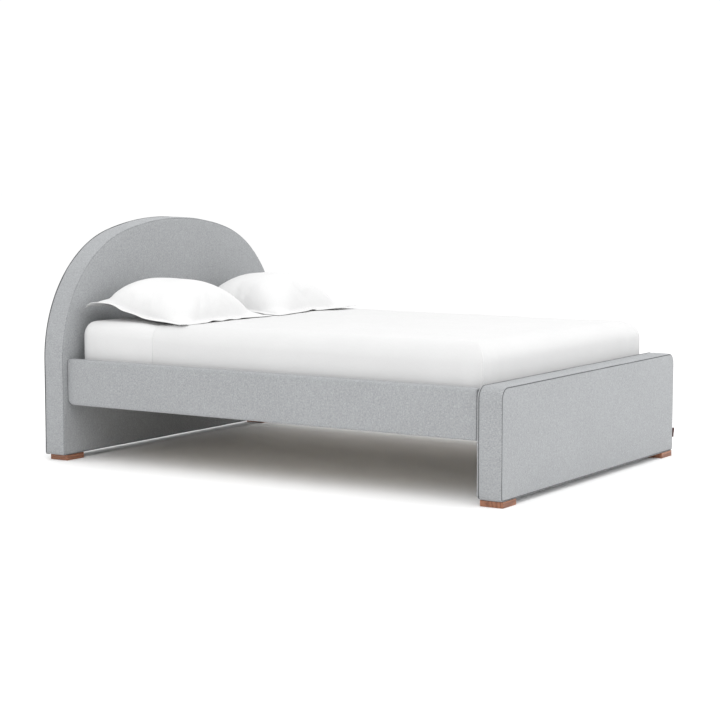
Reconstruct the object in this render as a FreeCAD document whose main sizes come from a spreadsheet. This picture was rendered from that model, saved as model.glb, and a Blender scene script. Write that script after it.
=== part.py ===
import FreeCAD, Part
import math
import os
import re

import Sketcher

# Upholstered platform bed: a tall arched headboard, a low boxed footboard, two padded side
# rails, a slatted base on a steel centre beam, and a made-up mattress with two pillows.
# Millimetres, +Z up. X is the width, Y the length with the headboard at +Y, and the origin
# is on the floor under the middle of the bed.

SIZES = (
    ("overall_length", 2152, "footboard outer face to headboard rear face"),
    ("head_width", 1524, "headboard width"),
    ("head_top", 994, "crown of the arch above the floor"),
    ("head_thick", 97, "headboard thickness"),
    ("arch_spring", 334, "height where the sides start to curve in"),
    ("side_radius", 1100, "arch: lower side arcs"),
    ("shoulder_radius", 544, "arch: shoulder arcs"),
    ("crown_radius", 1700, "arch: crown arc"),
    ("foot_width", 1508, "footboard width"),
    ("foot_top", 435, "footboard top above the floor"),
    ("foot_thick", 105, "footboard thickness"),
    ("foot_corner", 45, "footboard upper corner radius"),
    ("foot_low_corner", 14, "footboard lower corner radius"),
    ("block_height", 22, "height of the walnut feet"),
    ("fabric", 1.5, "upholstery fabric"),
    ("seam", 6, "seam set in from each edge"),
    ("welt", 5, "welt diameter"),
    ("face_foam", 24, "foam on a padded face"),
    ("border_foam", 10, "foam round a panel's edge"),
    ("ply", 12, "plywood panels"),
    ("ring_wide", 50, "width of the rib frame's rim"),
    ("rib_wide", 45, "width of a rib"),
    ("rail_span", 1476, "rail outer face to rail outer face"),
    ("rail_thick", 45, "side rail thickness"),
    ("rail_low", 233, "rail underside above the floor"),
    ("rail_top", 423, "rail top above the floor"),
    ("rail_corner", 8, "rail edge radius"),
    ("rail_gap", 2, "gap between a rail's end and the panel it meets"),
    ("rail_face_foam", 12, "foam on the rail's outer side"),
    ("rail_edge_foam", 6, "foam on the rail's top and underside"),
    ("rail_back_foam", 3, "foam on the rail's inner side"),
    ("deck", 300, "top of the slats above the floor"),
    ("slat_thick", 18, "slat thickness"),
    ("slat_wide", 90, "slat width"),
    ("slat_long", 1374, "slat length"),
    ("slat_first", 45, "first and last slat from the panels"),
    ("ledger_wide", 25, "ledger width"),
    ("ledger_tall", 30, "ledger height"),
    ("ledger_start", 70, "ledger's ends from the panels"),
    ("beam_side", 40, "centre beam, outside of its square section"),
    ("tube_wall", 2, "centre beam wall"),
    ("strap_out", 300, "middle of a slat strap from the middle of the bed"),
    ("strap_wide", 30, "width of a slat strap"),
    ("strap_thick", 1.5, "thickness of a slat strap"),
    ("steel", 3, "bracket steel"),
    ("saddle_reach", 40, "length of the beam's seat in each saddle"),
    ("saddle_wing", 32, "saddle plate beyond each side of the beam"),
    ("bracket_leg", 60, "rail bracket leg length"),
    ("bracket_tall", 54, "rail bracket height"),
    ("bracket_drop", 4, "rail bracket's upper edge below the slats' top"),
    ("bolt_edge", 14, "bolt to the bracket's upper or lower edge"),
    ("bolt_bite", 24, "length of a bolt in the rail"),
    ("bolt_shank", 4, "bolt shank radius"),
    ("bolt_head", 7, "bolt head radius"),
    ("bolt_head_tall", 3, "bolt head height"),
    ("saddle_bolt", 16, "saddle bolt to the beam's side"),
    ("wood_shank", 2.5, "wood screw shank radius"),
    ("wood_head", 5, "wood screw head radius"),
    ("foot_screw", 62, "length of a foot screw above its head"),
    ("foot_screw_sunk", 6, "depth of its head in the foot"),
    ("foot_screw_head", 4, "height of its head"),
    ("ledger_screw_bite", 20, "length of a ledger screw in the rail"),
    ("ledger_screw_head", 2, "height of its head"),
    ("ledger_screw_first", 110, "first and last ledger screw from the panels"),
    ("tag_out", 22, "how far the folded label stands out"),
    ("tag_thick", 2.4, "folded label thickness"),
    ("tag_tall", 39, "folded label height"),
    ("tag_low", 75, "folded label above the floor"),
    ("tag_set", 2, "folded label behind the seam"),
    ("mattress_wide", 1360, "mattress width"),
    ("mattress_long", 1905, "mattress length"),
    ("mattress_tall", 264, "mattress height"),
    ("mattress_corner", 50, "mattress corners seen from above"),
    ("mattress_edge", 48, "rounding of the mattress's upper edges"),
    ("lift_gap", 0.4, "clearance under a piece that lifts off"),
    ("sheet_hem", 20, "sheet's hem above the mattress's underside"),
    ("duvet_hem", 60, "duvet's hem above the mattress's underside"),
    ("sheet_thick", 1.5, "fitted sheet"),
    ("duvet_top", 15, "duvet on top of the mattress"),
    ("duvet_side", 4, "duvet down the sides"),
    ("duvet_head", 572, "the duvet's head edge, measured from the middle of the bed"),
    ("pillow_wide", 600, "pillow width"),
    ("pillow_deep", 524, "pillow depth, front to back"),
    ("pillow_tall", 158, "pillow height"),
)
RIBS = 5
SLATS = 13
LEDGER_SCREWS = 6
FOOT_EASE = 3.0

doc = FreeCAD.newDocument("arched_bed")
sheet = doc.addObject("Spreadsheet::Sheet", "Sizes")
for row, (alias, size, meaning) in enumerate(SIZES, start=1):
    sheet.set(f"A{row}", meaning)
    sheet.set(f"B{row}", str(size))
    sheet.setAlias(f"B{row}", alias)
doc.recompute()
ALIASES = {alias for alias, _, _ in SIZES}
nodes = []


def bound(text):
    """An expression whose bare size names are turned into references to the spreadsheet."""
    return re.sub(r"[a-z_]+", lambda m: f"Sizes.{m[0]}" if m[0] in ALIASES else m[0], str(text))


def value(text):
    """The present value of such an expression."""
    return float(sheet.evalExpression(bound(text)))


def bind(thing, **sizes):
    for prop, text in sizes.items():
        thing.setExpression(prop, bound(text))


def place(thing, x="0", y="0", z="0"):
    for axis, text in zip("xyz", (x, y, z)):
        thing.setExpression(f".Placement.Base.{axis}", bound(text))


def node(thing, name):
    """Marks a finished sub-part: its label is the name of its file."""
    thing.Label = name
    nodes.append(thing)
    return thing


# ---- places that several sub-parts share --------------------------------------------------

HEAD_FRONT = "(overall_length / 2 - head_thick)"
HEAD_BACK = "(overall_length / 2)"
FOOT_OUTER = "(-overall_length / 2)"
FOOT_INNER = "(foot_thick - overall_length / 2)"
RAIL_OUT = "(rail_span / 2)"
RAIL_IN = "(rail_span / 2 - rail_thick)"
LEDGER_LOW = "(deck - slat_thick - ledger_tall)"
BEAM_LOW = "(deck - slat_thick - beam_side)"
BRACKET_LOW = "(deck - bracket_drop - bracket_tall)"


# ---- sketches -----------------------------------------------------------------------------

def at(sketch, geometry, point, x=None, y=None):
    """Ties a point of a sketch to distances from the sketch's origin."""
    for kind, text in (("DistanceX", x), ("DistanceY", y)):
        if text is not None:
            rule = Sketcher.Constraint(kind, -1, 1, geometry, point, value(text))
            index = sketch.addConstraint(rule)
            sketch.setExpression(f"Constraints[{index}]", bound(text))


def radius(sketch, geometry, text):
    index = sketch.addConstraint(Sketcher.Constraint("Radius", geometry, value(text)))
    sketch.setExpression(f"Constraints[{index}]", bound(text))


def line(sketch, x0, y0, x1, y1):
    ends = (FreeCAD.Vector(x0, y0, 0), FreeCAD.Vector(x1, y1, 0))
    return sketch.addGeometry(Part.LineSegment(*ends), False)


def arc(sketch, x, y, size, start, end):
    circle = Part.Circle(FreeCAD.Vector(x, y, 0), FreeCAD.Vector(0, 0, 1), size)
    return sketch.addGeometry(Part.ArcOfCircle(circle, start, end), False)


def chain(sketch, pieces, rule):
    """Joins each piece's end to the next one's start."""
    for one, other in zip(pieces, pieces[1:]):
        sketch.addConstraint(Sketcher.Constraint(rule, one, 2, other, 1))


def rectangle(sketch, left, low, right, top):
    x0, y0, x1, y1 = (value(text) for text in (left, low, right, top))
    base = line(sketch, x0, y0, x1, y0)
    side = line(sketch, x1, y0, x1, y1)
    crown = line(sketch, x1, y1, x0, y1)
    other = line(sketch, x0, y1, x0, y0)
    chain(sketch, (base, side, crown, other, base), "Coincident")
    for flat in (base, crown):
        sketch.addConstraint(Sketcher.Constraint("Horizontal", flat))
    for upright in (side, other):
        sketch.addConstraint(Sketcher.Constraint("Vertical", upright))
    at(sketch, base, 1, left, low)
    at(sketch, side, 2, right, top)


def rounded(sketch, left, low, right, top, upper_radius, lower_radius, closed=True):
    """A rectangle with rounded corners; left open, its base and lower arcs only guide it."""
    x0, y0, x1, y1 = (value(text) for text in (left, low, right, top))
    up, down = value(upper_radius), value(lower_radius)
    base = line(sketch, x0 + down, y0, x1 - down, y0)
    low_right = arc(sketch, x1 - down, y0 + down, down, -math.pi / 2, 0)
    side = line(sketch, x1, y0 + down, x1, y1 - up)
    top_right = arc(sketch, x1 - up, y1 - up, up, 0, math.pi / 2)
    crown = line(sketch, x1 - up, y1, x0 + up, y1)
    top_left = arc(sketch, x0 + up, y1 - up, up, math.pi / 2, math.pi)
    other = line(sketch, x0, y1 - up, x0, y0 + down)
    low_left = arc(sketch, x0 + down, y0 + down, down, math.pi, 1.5 * math.pi)
    loop = (base, low_right, side, top_right, crown, top_left, other, low_left, base)
    chain(sketch, loop, "Tangent")
    for flat in (base, crown):
        sketch.addConstraint(Sketcher.Constraint("Horizontal", flat))
    for upright in (side, other):
        sketch.addConstraint(Sketcher.Constraint("Vertical", upright))
    for corner, size in ((top_right, upper_radius), (low_right, lower_radius)):
        radius(sketch, corner, size)
    sketch.addConstraint(Sketcher.Constraint("Equal", top_right, top_left))
    sketch.addConstraint(Sketcher.Constraint("Equal", low_right, low_left))
    at(sketch, base, 1, y=low)
    at(sketch, crown, 1, y=top)
    at(sketch, side, 1, x=right)
    at(sketch, other, 1, x=left)
    if not closed:
        for guide in (base, low_right, low_left):
            sketch.toggleConstruction(guide)


def arch(sketch, inset, closed=True):
    """The headboard's outline: straight sides, then a five-centred arch, all set in evenly."""
    inset = f"({inset})"
    half, low = f"(head_width / 2 - {inset})", f"(block_height + {inset})"
    side_r, shoulder_r = f"(side_radius - {inset})", f"(shoulder_radius - {inset})"
    crown_r = f"(crown_radius - {inset})"
    side_x = value("head_width / 2 - side_radius")
    spring, crown_y = value("arch_spring"), value("head_top - crown_radius")
    # The shoulder's centre is as far from the other two centres as their radii differ.
    near = value("side_radius - shoulder_radius")
    far = value("crown_radius - shoulder_radius")
    apart = math.hypot(side_x, crown_y - spring)
    along = (near ** 2 - far ** 2 + apart ** 2) / (2 * apart)
    off = math.sqrt(near ** 2 - along ** 2)
    ux, uy = -side_x / apart, (crown_y - spring) / apart
    mid_x, mid_y = side_x + ux * along - uy * off, spring + uy * along + ux * off
    low_turn = math.atan2(mid_y - spring, mid_x - side_x)
    high_turn = math.atan2(mid_y - crown_y, mid_x)
    a, z = value(half), value(low)
    base = line(sketch, -a, z, a, z)
    right = line(sketch, a, z, a, spring)
    side = arc(sketch, side_x, spring, value(side_r), 0, low_turn)
    shoulder = arc(sketch, mid_x, mid_y, value(shoulder_r), low_turn, high_turn)
    crown = arc(sketch, 0, crown_y, value(crown_r), high_turn, math.pi - high_turn)
    shoulder_2 = arc(sketch, -mid_x, mid_y, value(shoulder_r), math.pi - high_turn,
                     math.pi - low_turn)
    side_2 = arc(sketch, -side_x, spring, value(side_r), math.pi - low_turn, math.pi)
    left = line(sketch, -a, spring, -a, z)
    chain(sketch, (left, base, right), "Coincident")
    chain(sketch, (right, side, shoulder, crown, shoulder_2, side_2, left), "Tangent")
    sketch.addConstraint(Sketcher.Constraint("Horizontal", base))
    sketch.addConstraint(Sketcher.Constraint("Vertical", right))
    sketch.addConstraint(Sketcher.Constraint("Vertical", left))
    sketch.addConstraint(Sketcher.Constraint("Equal", side, side_2))
    sketch.addConstraint(Sketcher.Constraint("Equal", shoulder, shoulder_2))
    at(sketch, base, 1, x=f"-{half}")
    at(sketch, base, 2, x=half, y=low)
    at(sketch, right, 2, y="arch_spring")
    at(sketch, left, 1, y="arch_spring")
    radius(sketch, side, side_r)
    radius(sketch, shoulder, shoulder_r)
    radius(sketch, crown, crown_r)
    sketch.addConstraint(Sketcher.Constraint("PointOnObject", crown, 3, -2))
    at(sketch, crown, 3, y="head_top - crown_radius")
    if not closed:
        sketch.toggleConstruction(base)


def boxed(sketch, inset, closed=True):
    """The footboard's outline, set in evenly."""
    inset = f"({inset})"
    half = f"(foot_width / 2 - {inset})"
    rounded(sketch, f"-{half}", f"block_height + {inset}", half, f"foot_top - {inset}",
            f"max(foot_corner - {inset}; 1)", f"max(foot_low_corner - {inset}; 1)", closed)


# ---- solids -------------------------------------------------------------------------------

def new_body(name):
    body = doc.addObject("PartDesign::Body", name)
    body.Label = name
    return body


def new_sketch(body, role, offset):
    """A sketch on one of the body's own origin planes, moved along the axis across it."""
    plane = next(p for p in body.Origin.OriginFeatures if p.Role == role)
    sketch = body.newObject("Sketcher::SketchObject", f"{body.Name}_sketch")
    sketch.AttachmentSupport = (plane, [""])
    sketch.MapMode = "FlatFace"
    sign = "-" if role == "XZ_Plane" else ""
    sketch.setExpression(".AttachmentOffset.Base.z", bound(f"{sign}({offset})"))
    return sketch


def pad(body, role, start, length, *outlines):
    """Pads one closed outline, or a ring between two, towards +Y from XZ or +Z from XY."""
    sketch = new_sketch(body, role, start)
    for outline in outlines:
        outline(sketch)
    feature = body.newObject("PartDesign::Pad", f"{body.Name}_pad")
    feature.Profile = sketch
    feature.Reversed = role == "XZ_Plane"
    bind(feature, Length=length)
    doc.recompute()
    return feature


def box(name, x, y, z, wide, long, tall):
    block = doc.addObject("Part::Box", name)
    block.Label = name
    bind(block, Length=wide, Width=long, Height=tall)
    place(block, x, y, z)
    return block


def rod(name, size, length, x, y, z, axis, turn=90):
    """A cylinder that starts at x, y, z and is turned about the given axis."""
    pin = doc.addObject("Part::Cylinder", name)
    bind(pin, Radius=size, Height=length)
    pin.Placement.Rotation = FreeCAD.Rotation(FreeCAD.Vector(*axis), turn)
    place(pin, x, y, z)
    return pin


def group(name, members):
    bundle = doc.addObject("Part::Compound", name)
    bundle.Links = members
    return bundle


def fused(name, members):
    whole = doc.addObject("Part::MultiFuse", name)
    whole.Shapes = members
    return whole


def less(name, base, tool):
    """What is left of the base once the tool's space is taken out of it."""
    rest = doc.addObject("Part::Cut", name)
    rest.Base = base
    rest.Tool = tool
    return rest


# ---- fasteners ----------------------------------------------------------------------------

def screw(name, x, y, z, length, shank, head, head_tall, axis, turn):
    """A shank with a round head below its starting point, pointing where the turn sends it."""
    way = FreeCAD.Rotation(FreeCAD.Vector(*axis), turn).multVec(FreeCAD.Vector(0, 0, 1))
    back = [f"({text}) - {step:.0f} * {head_tall}" for text, step in zip((x, y, z), way)]
    stem = rod(f"{name}_shank", shank, length, x, y, z, axis, turn)
    cap = rod(f"{name}_head", head, head_tall, *back, axis, turn)
    return fused(name, [stem, cap])


FOOT_BLOCKS = {
    # end: (inset from the panel's side, width, first y, depth)
    "headboard": ("head_width / 2 - 16", "106", HEAD_FRONT, "92"),
    "footboard": ("foot_width / 2 - 6", "103", FOOT_OUTER, "95"),
}
SIDES = (("left", "-"), ("right", ""))
BOLT = ("bolt_shank", "bolt_head", "bolt_head_tall")


def foot_screws():
    """Two wood screws up through each walnut foot, and the bores that sink their heads."""
    made, bores = [], []
    for end, (outer, wide, first, deep) in FOOT_BLOCKS.items():
        for side, sign in SIDES:
            for number, share in enumerate((0.3, 0.7), start=1):
                x, y = f"{sign}({outer} - {wide} * {share})", f"{first} + {deep} / 2"
                name = f"foot_screw_{end}_{side}_{number}"
                made.append(screw(name, x, y, "foot_screw_sunk + foot_screw_head",
                                  "foot_screw", "wood_shank", "wood_head", "foot_screw_head",
                                  (1, 0, 0), 0))
                bores.append(rod(f"{name}_bore", "wood_head", "foot_screw_sunk", x, y, "0",
                                 (1, 0, 0), 0))
    return group("foot_screw_group", made), group("foot_screw_bores", bores)


def ledger_screws():
    """Wood screws through each ledger into its rail board."""
    made = []
    first = value(f"{FOOT_INNER} + ledger_screw_first")
    last = value(f"{HEAD_FRONT} - ledger_screw_first")
    for side, sign in SIDES:
        turn = 90 if side == "right" else -90
        for number in range(LEDGER_SCREWS):
            y = first + (last - first) * number / (LEDGER_SCREWS - 1)
            made.append(screw(f"ledger_screw_{side}_{number + 1}",
                              f"{sign}({RAIL_IN} - ledger_wide)", y,
                              f"{LEDGER_LOW} + ledger_tall / 2",
                              "ledger_wide + ledger_screw_bite", "wood_shank", "wood_head",
                              "ledger_screw_head", (0, 1, 0), turn))
    return group("ledger_screw_group", made)


def bracket_bolts():
    """Bolts that hold the rail brackets to rails and panels, and the beam's two saddles."""
    made = []
    ends = (("head", HEAD_FRONT, "-", -90), ("foot", FOOT_INNER, "+", 90))
    for end, face, inward, turn in ends:
        for side, sign in SIDES:
            for number, lift in enumerate(("bolt_edge", "bracket_tall - bolt_edge"), start=1):
                z = f"{BRACKET_LOW} + {lift}"
                made.append(screw(f"rail_bolt_{end}_{side}_{number}",
                                  f"{sign}({RAIL_IN} - steel)",
                                  f"{face} {inward} bracket_leg * 0.6", z,
                                  "steel + bolt_bite", *BOLT, (0, 1, 0),
                                  90 if side == "right" else -90))
                made.append(screw(f"panel_bolt_{end}_{side}_{number}",
                                  f"{sign}({RAIL_IN} - bracket_leg * 0.6)",
                                  f"{face} {inward} steel", z,
                                  "steel + fabric + face_foam + ply", *BOLT, (1, 0, 0),
                                  turn))
        for side, sign in SIDES:
            made.append(screw(f"saddle_bolt_{end}_{side}",
                              f"{sign}(beam_side / 2 + saddle_bolt)",
                              f"{face} {inward} steel", f"{BEAM_LOW} + beam_side / 2",
                              "steel + fabric + face_foam + ply", *BOLT, (1, 0, 0), turn))
    return group("bracket_bolt_group", made)


FOOT_SCREWS, FOOT_BORES = foot_screws()
node(FOOT_SCREWS, "foot_screws")
LEDGER_SCREW_SET = node(ledger_screws(), "ledger_screws")
BOLTS = node(bracket_bolts(), "bracket_bolts")
ALL_PINS = group("all_fasteners", [FOOT_SCREWS, LEDGER_SCREW_SET, BOLTS])


# ---- headboard and footboard --------------------------------------------------------------

def ring(outline, outer, inner):
    return (lambda sketch: outline(sketch, outer)), (lambda sketch: outline(sketch, inner))


def panel_layer(name, outline, start, length, outer, inner=None, drilled=False):
    """A slab of the panel's outline, or a ring where an inner inset is given."""
    body = new_body(f"{name}_blank")
    outlines = ring(outline, outer, inner) if inner else (lambda s: outline(s, outer),)
    pad(body, "XZ_Plane", start, length, *outlines)
    return node(less(f"{name}_drilled", body, ALL_PINS) if drilled else body, name)


def welt(name, outline, half_width, start_z, y):
    """The piped cord in a seam: a round section swept up one side, over and down the other."""
    path = doc.addObject("Sketcher::SketchObject", f"{name}_path")
    path.Placement.Rotation = FreeCAD.Rotation(FreeCAD.Vector(1, 0, 0), 90)
    path.setExpression(".Placement.Base.y", bound(y))
    outline(path, "seam / 2", False)
    section = doc.addObject("Part::Circle", f"{name}_section")
    bind(section, Radius="welt / 2")
    place(section, f"{half_width} - seam / 2", y, start_z)
    doc.recompute()
    cord = doc.addObject("Part::Sweep", name)
    cord.Sections = [section]
    cord.Spine = (path, [f"Edge{i + 1}" for i in range(len(path.Shape.Edges))])
    cord.Solid = True
    return node(cord, name)


def foam(name, outline, low, high, low_foam, high_foam):
    """Foam on one or both faces and round the edge, rebated for the welts."""
    body = new_body(f"{name}_blank")
    notch = "seam + 0.5"
    under = "fabric + border_foam"

    def slab(start, length, outer, inner=None):
        outlines = ring(outline, outer, inner) if inner else (lambda s: outline(s, outer),)
        pad(body, "XZ_Plane", start, length, *outlines)

    slab(f"{low} + fabric", "seam - fabric", notch)
    slab(f"{low} + seam", f"{low_foam} + fabric - seam", "fabric")
    if high_foam == "0":
        slab(f"{low} + {low_foam} + fabric", f"{high} - {low} - {low_foam} - fabric - seam",
             "fabric", under)
        slab(f"{high} - seam", "seam - fabric", notch, under)
    else:
        slab(f"{low} + {low_foam} + fabric",
             f"{high} - {low} - {low_foam} - {high_foam} - 2 * fabric", "fabric", under)
        slab(f"{high} - {high_foam} - fabric", f"{high_foam} + fabric - seam", "fabric")
        slab(f"{high} - seam", "seam - fabric", notch)
    return node(less(f"{name}_drilled", body, ALL_PINS), name)


def rib_frame(name, outline, low, depth, width, top):
    """A rim that follows the outline, and separate upright ribs cut to fit inside it."""
    rim = new_body(f"{name}_rim")
    inset = "fabric + border_foam"
    inner = f"{inset} + ring_wide"
    pad(rim, "XZ_Plane", low, depth, *ring(outline, inset, inner))
    space = new_body(f"{name}_space")
    pad(space, "XZ_Plane", low, depth, lambda s: outline(s, inner))
    ribs = []
    for number in range(RIBS):
        share = (number + 1) / (RIBS + 1) - 0.5
        x = f"({width} - 2 * ({inner}) + rib_wide) * {share} - rib_wide / 2"
        stock = box(f"{name}_stock_{number + 1}", x, low, "block_height", "rib_wide", depth, top)
        rib = doc.addObject("Part::Common", f"{name}_rib_{number + 1}")
        rib.Base = stock
        rib.Tool = space
        ribs.append(rib)
    whole = group(f"{name}_set", [rim, *ribs])
    return node(less(f"{name}_drilled", whole, ALL_PINS), name)


def feet(end):
    """Two walnut blocks with eased corners under one end of the bed."""
    outer, wide, first, deep = FOOT_BLOCKS[end]
    for side, sign in SIDES:
        start = f"-({outer})" if sign else f"{outer} - {wide}"
        block = box(f"{end}_{side}_block", start, first, "0", wide, deep, "block_height")
        doc.recompute()
        eased = doc.addObject("Part::Fillet", f"{end}_{side}_eased")
        eased.Base = block
        upright = [i for i, edge in enumerate(block.Shape.Edges, start=1)
                   if abs(edge.tangentAt(edge.FirstParameter).z) > 0.99]
        eased.Edges = [(i, FOOT_EASE, FOOT_EASE) for i in upright]
        bored = less(f"{end}_{side}_bored", eased, FOOT_BORES)
        node(less(f"{end}_{side}_foot", bored, FOOT_SCREWS), f"{end}_foot_{side}")


def headboard():
    inset = "fabric + border_foam"
    core = f"{HEAD_FRONT} + fabric + face_foam"
    panel_layer("headboard_front_cover", arch, HEAD_FRONT, "fabric", "seam", drilled=True)
    panel_layer("headboard_back_cover", arch, f"{HEAD_BACK} - fabric", "fabric", "seam")
    panel_layer("headboard_border_cover", arch, f"{HEAD_FRONT} + seam", "head_thick - 2 * seam",
                "0", "fabric", drilled=True)
    foam("headboard_foam", arch, HEAD_FRONT, HEAD_BACK, "face_foam", "0")
    panel_layer("headboard_front_panel", arch, core, "ply", inset, drilled=True)
    rib_frame("headboard_rib_frame", arch, f"{core} + ply",
              "head_thick - 2 * fabric - face_foam - ply", "head_width", "head_top")
    for name, y in (("front", f"{HEAD_FRONT} + seam / 2"), ("rear", f"{HEAD_BACK} - seam / 2")):
        welt(f"headboard_{name}_welt", arch, "head_width / 2", "block_height + seam / 2", y)
    feet("headboard")


def footboard():
    inset = "fabric + border_foam"
    outer_core = f"{FOOT_OUTER} + fabric + face_foam"
    inner_core = f"{FOOT_INNER} - fabric - face_foam - ply"
    panel_layer("footboard_outer_cover", boxed, FOOT_OUTER, "fabric", "seam")
    panel_layer("footboard_inner_cover", boxed, f"{FOOT_INNER} - fabric", "fabric", "seam",
                drilled=True)
    panel_layer("footboard_border_cover", boxed, f"{FOOT_OUTER} + seam",
                "foot_thick - 2 * seam", "0", "fabric", drilled=True)
    foam("footboard_foam", boxed, FOOT_OUTER, FOOT_INNER, "face_foam", "face_foam")
    panel_layer("footboard_outer_panel", boxed, outer_core, "ply", inset, drilled=True)
    panel_layer("footboard_inner_panel", boxed, inner_core, "ply", inset, drilled=True)
    rib_frame("footboard_rib_frame", boxed, f"{outer_core} + ply",
              "foot_thick - 2 * (fabric + face_foam + ply)", "foot_width", "foot_top")
    for name, y in (("outer", f"{FOOT_OUTER} + seam / 2"), ("inner", f"{FOOT_INNER} - seam / 2")):
        welt(f"footboard_{name}_welt", boxed, "foot_width / 2", "block_height + foot_low_corner",
             y)
    feet("footboard")
    # A small folded fabric label is sewn beside the outer seam.
    node(box("label_loop", "foot_width / 2", f"{FOOT_OUTER} + seam + tag_set", "tag_low",
             "tag_out", "tag_thick", "tag_tall"), "footboard_tag")


# ---- side rails, ledgers and brackets -----------------------------------------------------

def side_rail(side, sign):
    """A timber board in a foam sleeve and a fabric sleeve, with a ledger on its inner face."""
    start = f"{FOOT_INNER} + rail_gap"
    length = f"{HEAD_FRONT} - {FOOT_INNER} - 2 * rail_gap"

    def span(inner, outer):
        """Left and right of a stretch between two distances from the middle of the bed."""
        return (f"-({outer})", f"-({inner})") if sign else (inner, outer)

    def sleeve(inset):
        left, right = span(f"{RAIL_IN} + {inset}", f"{RAIL_OUT} - {inset}")
        corner = f"rail_corner - {inset}"
        return lambda s: rounded(s, left, f"rail_low + {inset}", right, f"rail_top - {inset}",
                                 corner, corner)

    wood = span(f"{RAIL_IN} + fabric + rail_back_foam", f"{RAIL_OUT} - fabric - rail_face_foam")
    wood_low = "rail_low + fabric + rail_edge_foam"
    wood_top = "rail_top - fabric - rail_edge_foam"

    def timber(sketch):
        rectangle(sketch, wood[0], wood_low, wood[1], wood_top)

    layers = (("cover", (sleeve("0"), sleeve("fabric"))), ("foam", (sleeve("fabric"), timber)),
              ("board", (timber,)))
    for layer, outlines in layers:
        name = f"side_rail_{layer}_{side}"
        body = new_body(f"{name}_blank")
        pad(body, "XZ_Plane", start, length, *outlines)
        node(less(f"{name}_drilled", body, ALL_PINS), name)
    left, _ = span(f"{RAIL_IN} - ledger_wide", RAIL_IN)
    strip = box(f"ledger_strip_{side}", left, f"{FOOT_INNER} + ledger_start", LEDGER_LOW,
                "ledger_wide", f"{HEAD_FRONT} - {FOOT_INNER} - 2 * ledger_start", "ledger_tall")
    node(less(f"ledger_{side}", strip, LEDGER_SCREW_SET), f"slat_ledger_{side}")


def rail_brackets(end, face, inward):
    """Steel angles in the two corners between the rails and one panel."""
    pair = []
    for side, sign in SIDES:
        arm_x = f"-{RAIL_IN}" if sign else f"{RAIL_IN} - steel"
        leg_x = f"-{RAIL_IN}" if sign else f"{RAIL_IN} - bracket_leg"
        arm_y = f"{face} - bracket_leg" if inward == "-" else face
        leg_y = f"{face} - steel" if inward == "-" else face
        arm = box(f"{end}_{side}_arm", arm_x, arm_y, BRACKET_LOW, "steel", "bracket_leg",
                  "bracket_tall")
        leg = box(f"{end}_{side}_leg", leg_x, leg_y, BRACKET_LOW, "bracket_leg", "steel",
                  "bracket_tall")
        angle = fused(f"{end}_{side}_angle", [arm, leg])
        pair.append(less(f"{end}_{side}_bracket", angle, BOLTS))
    node(group(f"{end}_rail_brackets", pair), f"rail_brackets_{end}")


# ---- slatted base -------------------------------------------------------------------------

def slatted_base():
    first = f"{FOOT_INNER} + slat_first"
    step = f"({HEAD_FRONT} - {FOOT_INNER} - 2 * slat_first - slat_wide) / {SLATS - 1}"
    for number in range(SLATS):
        node(box(f"slat_board_{number + 1}", "-slat_long / 2", f"{first} + {step} * {number}",
                 "deck - slat_thick", "slat_long", "slat_wide", "slat_thick"),
             f"slat_{number + 1:02d}")
    # Two webbing straps, stapled under the slats, keep them spaced.
    straps = []
    for side, sign in SIDES:
        straps.append(box(f"strap_{side}", f"{sign}strap_out - strap_wide / 2", first,
                          "deck - slat_thick - strap_thick", "strap_wide",
                          f"{step} * {SLATS - 1} + slat_wide", "strap_thick"))
    node(group("strap_pair", straps), "slat_straps")
    # The centre beam is a square steel tube, held at each end in a steel saddle.
    beam = new_body("centre_beam")
    start, end = f"{FOOT_INNER} + steel + 1", f"{HEAD_FRONT} - steel - 1"
    half = "beam_side / 2"
    hollow = "beam_side / 2 - tube_wall"
    top = "deck - slat_thick"
    pad(beam, "XZ_Plane", start, f"{end} - ({start})",
        lambda s: rectangle(s, f"-{half}", BEAM_LOW, half, top),
        lambda s: rectangle(s, f"-({hollow})", f"{BEAM_LOW} + tube_wall", hollow,
                            f"{top} - tube_wall"))
    node(beam, "centre_beam")
    saddles = []
    for name, face, way in (("head", HEAD_FRONT, -1), ("foot", FOOT_INNER, 1)):
        plate_y = f"{face} - steel" if way < 0 else face
        reach_y = f"{face} - steel - saddle_reach" if way < 0 else f"{face} + steel"
        plate = box(f"saddle_plate_{name}", f"-{half} - saddle_wing", plate_y,
                    f"{BEAM_LOW} - steel", "beam_side + 2 * saddle_wing", "steel", "beam_side")
        floor = box(f"saddle_floor_{name}", f"-{half} - steel", reach_y, f"{BEAM_LOW} - steel",
                    "beam_side + 2 * steel", "saddle_reach", "steel")
        cheeks = [box(f"saddle_cheek_{name}_{side}", x, reach_y, BEAM_LOW, "steel",
                      "saddle_reach", "beam_side * 0.7")
                  for side, x in (("left", f"-{half} - steel"), ("right", half))]
        whole = fused(f"saddle_{name}_whole", [plate, floor, *cheeks])
        saddles.append(less(f"saddle_{name}", whole, BOLTS))
    node(group("saddle_pair", saddles), "beam_brackets")


# ---- bedding ------------------------------------------------------------------------------

MATTRESS_LOW = "(deck + lift_gap)"
MATTRESS_TOP = "(deck + lift_gap + mattress_tall)"
MATTRESS_SHIFT = -1.5


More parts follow.
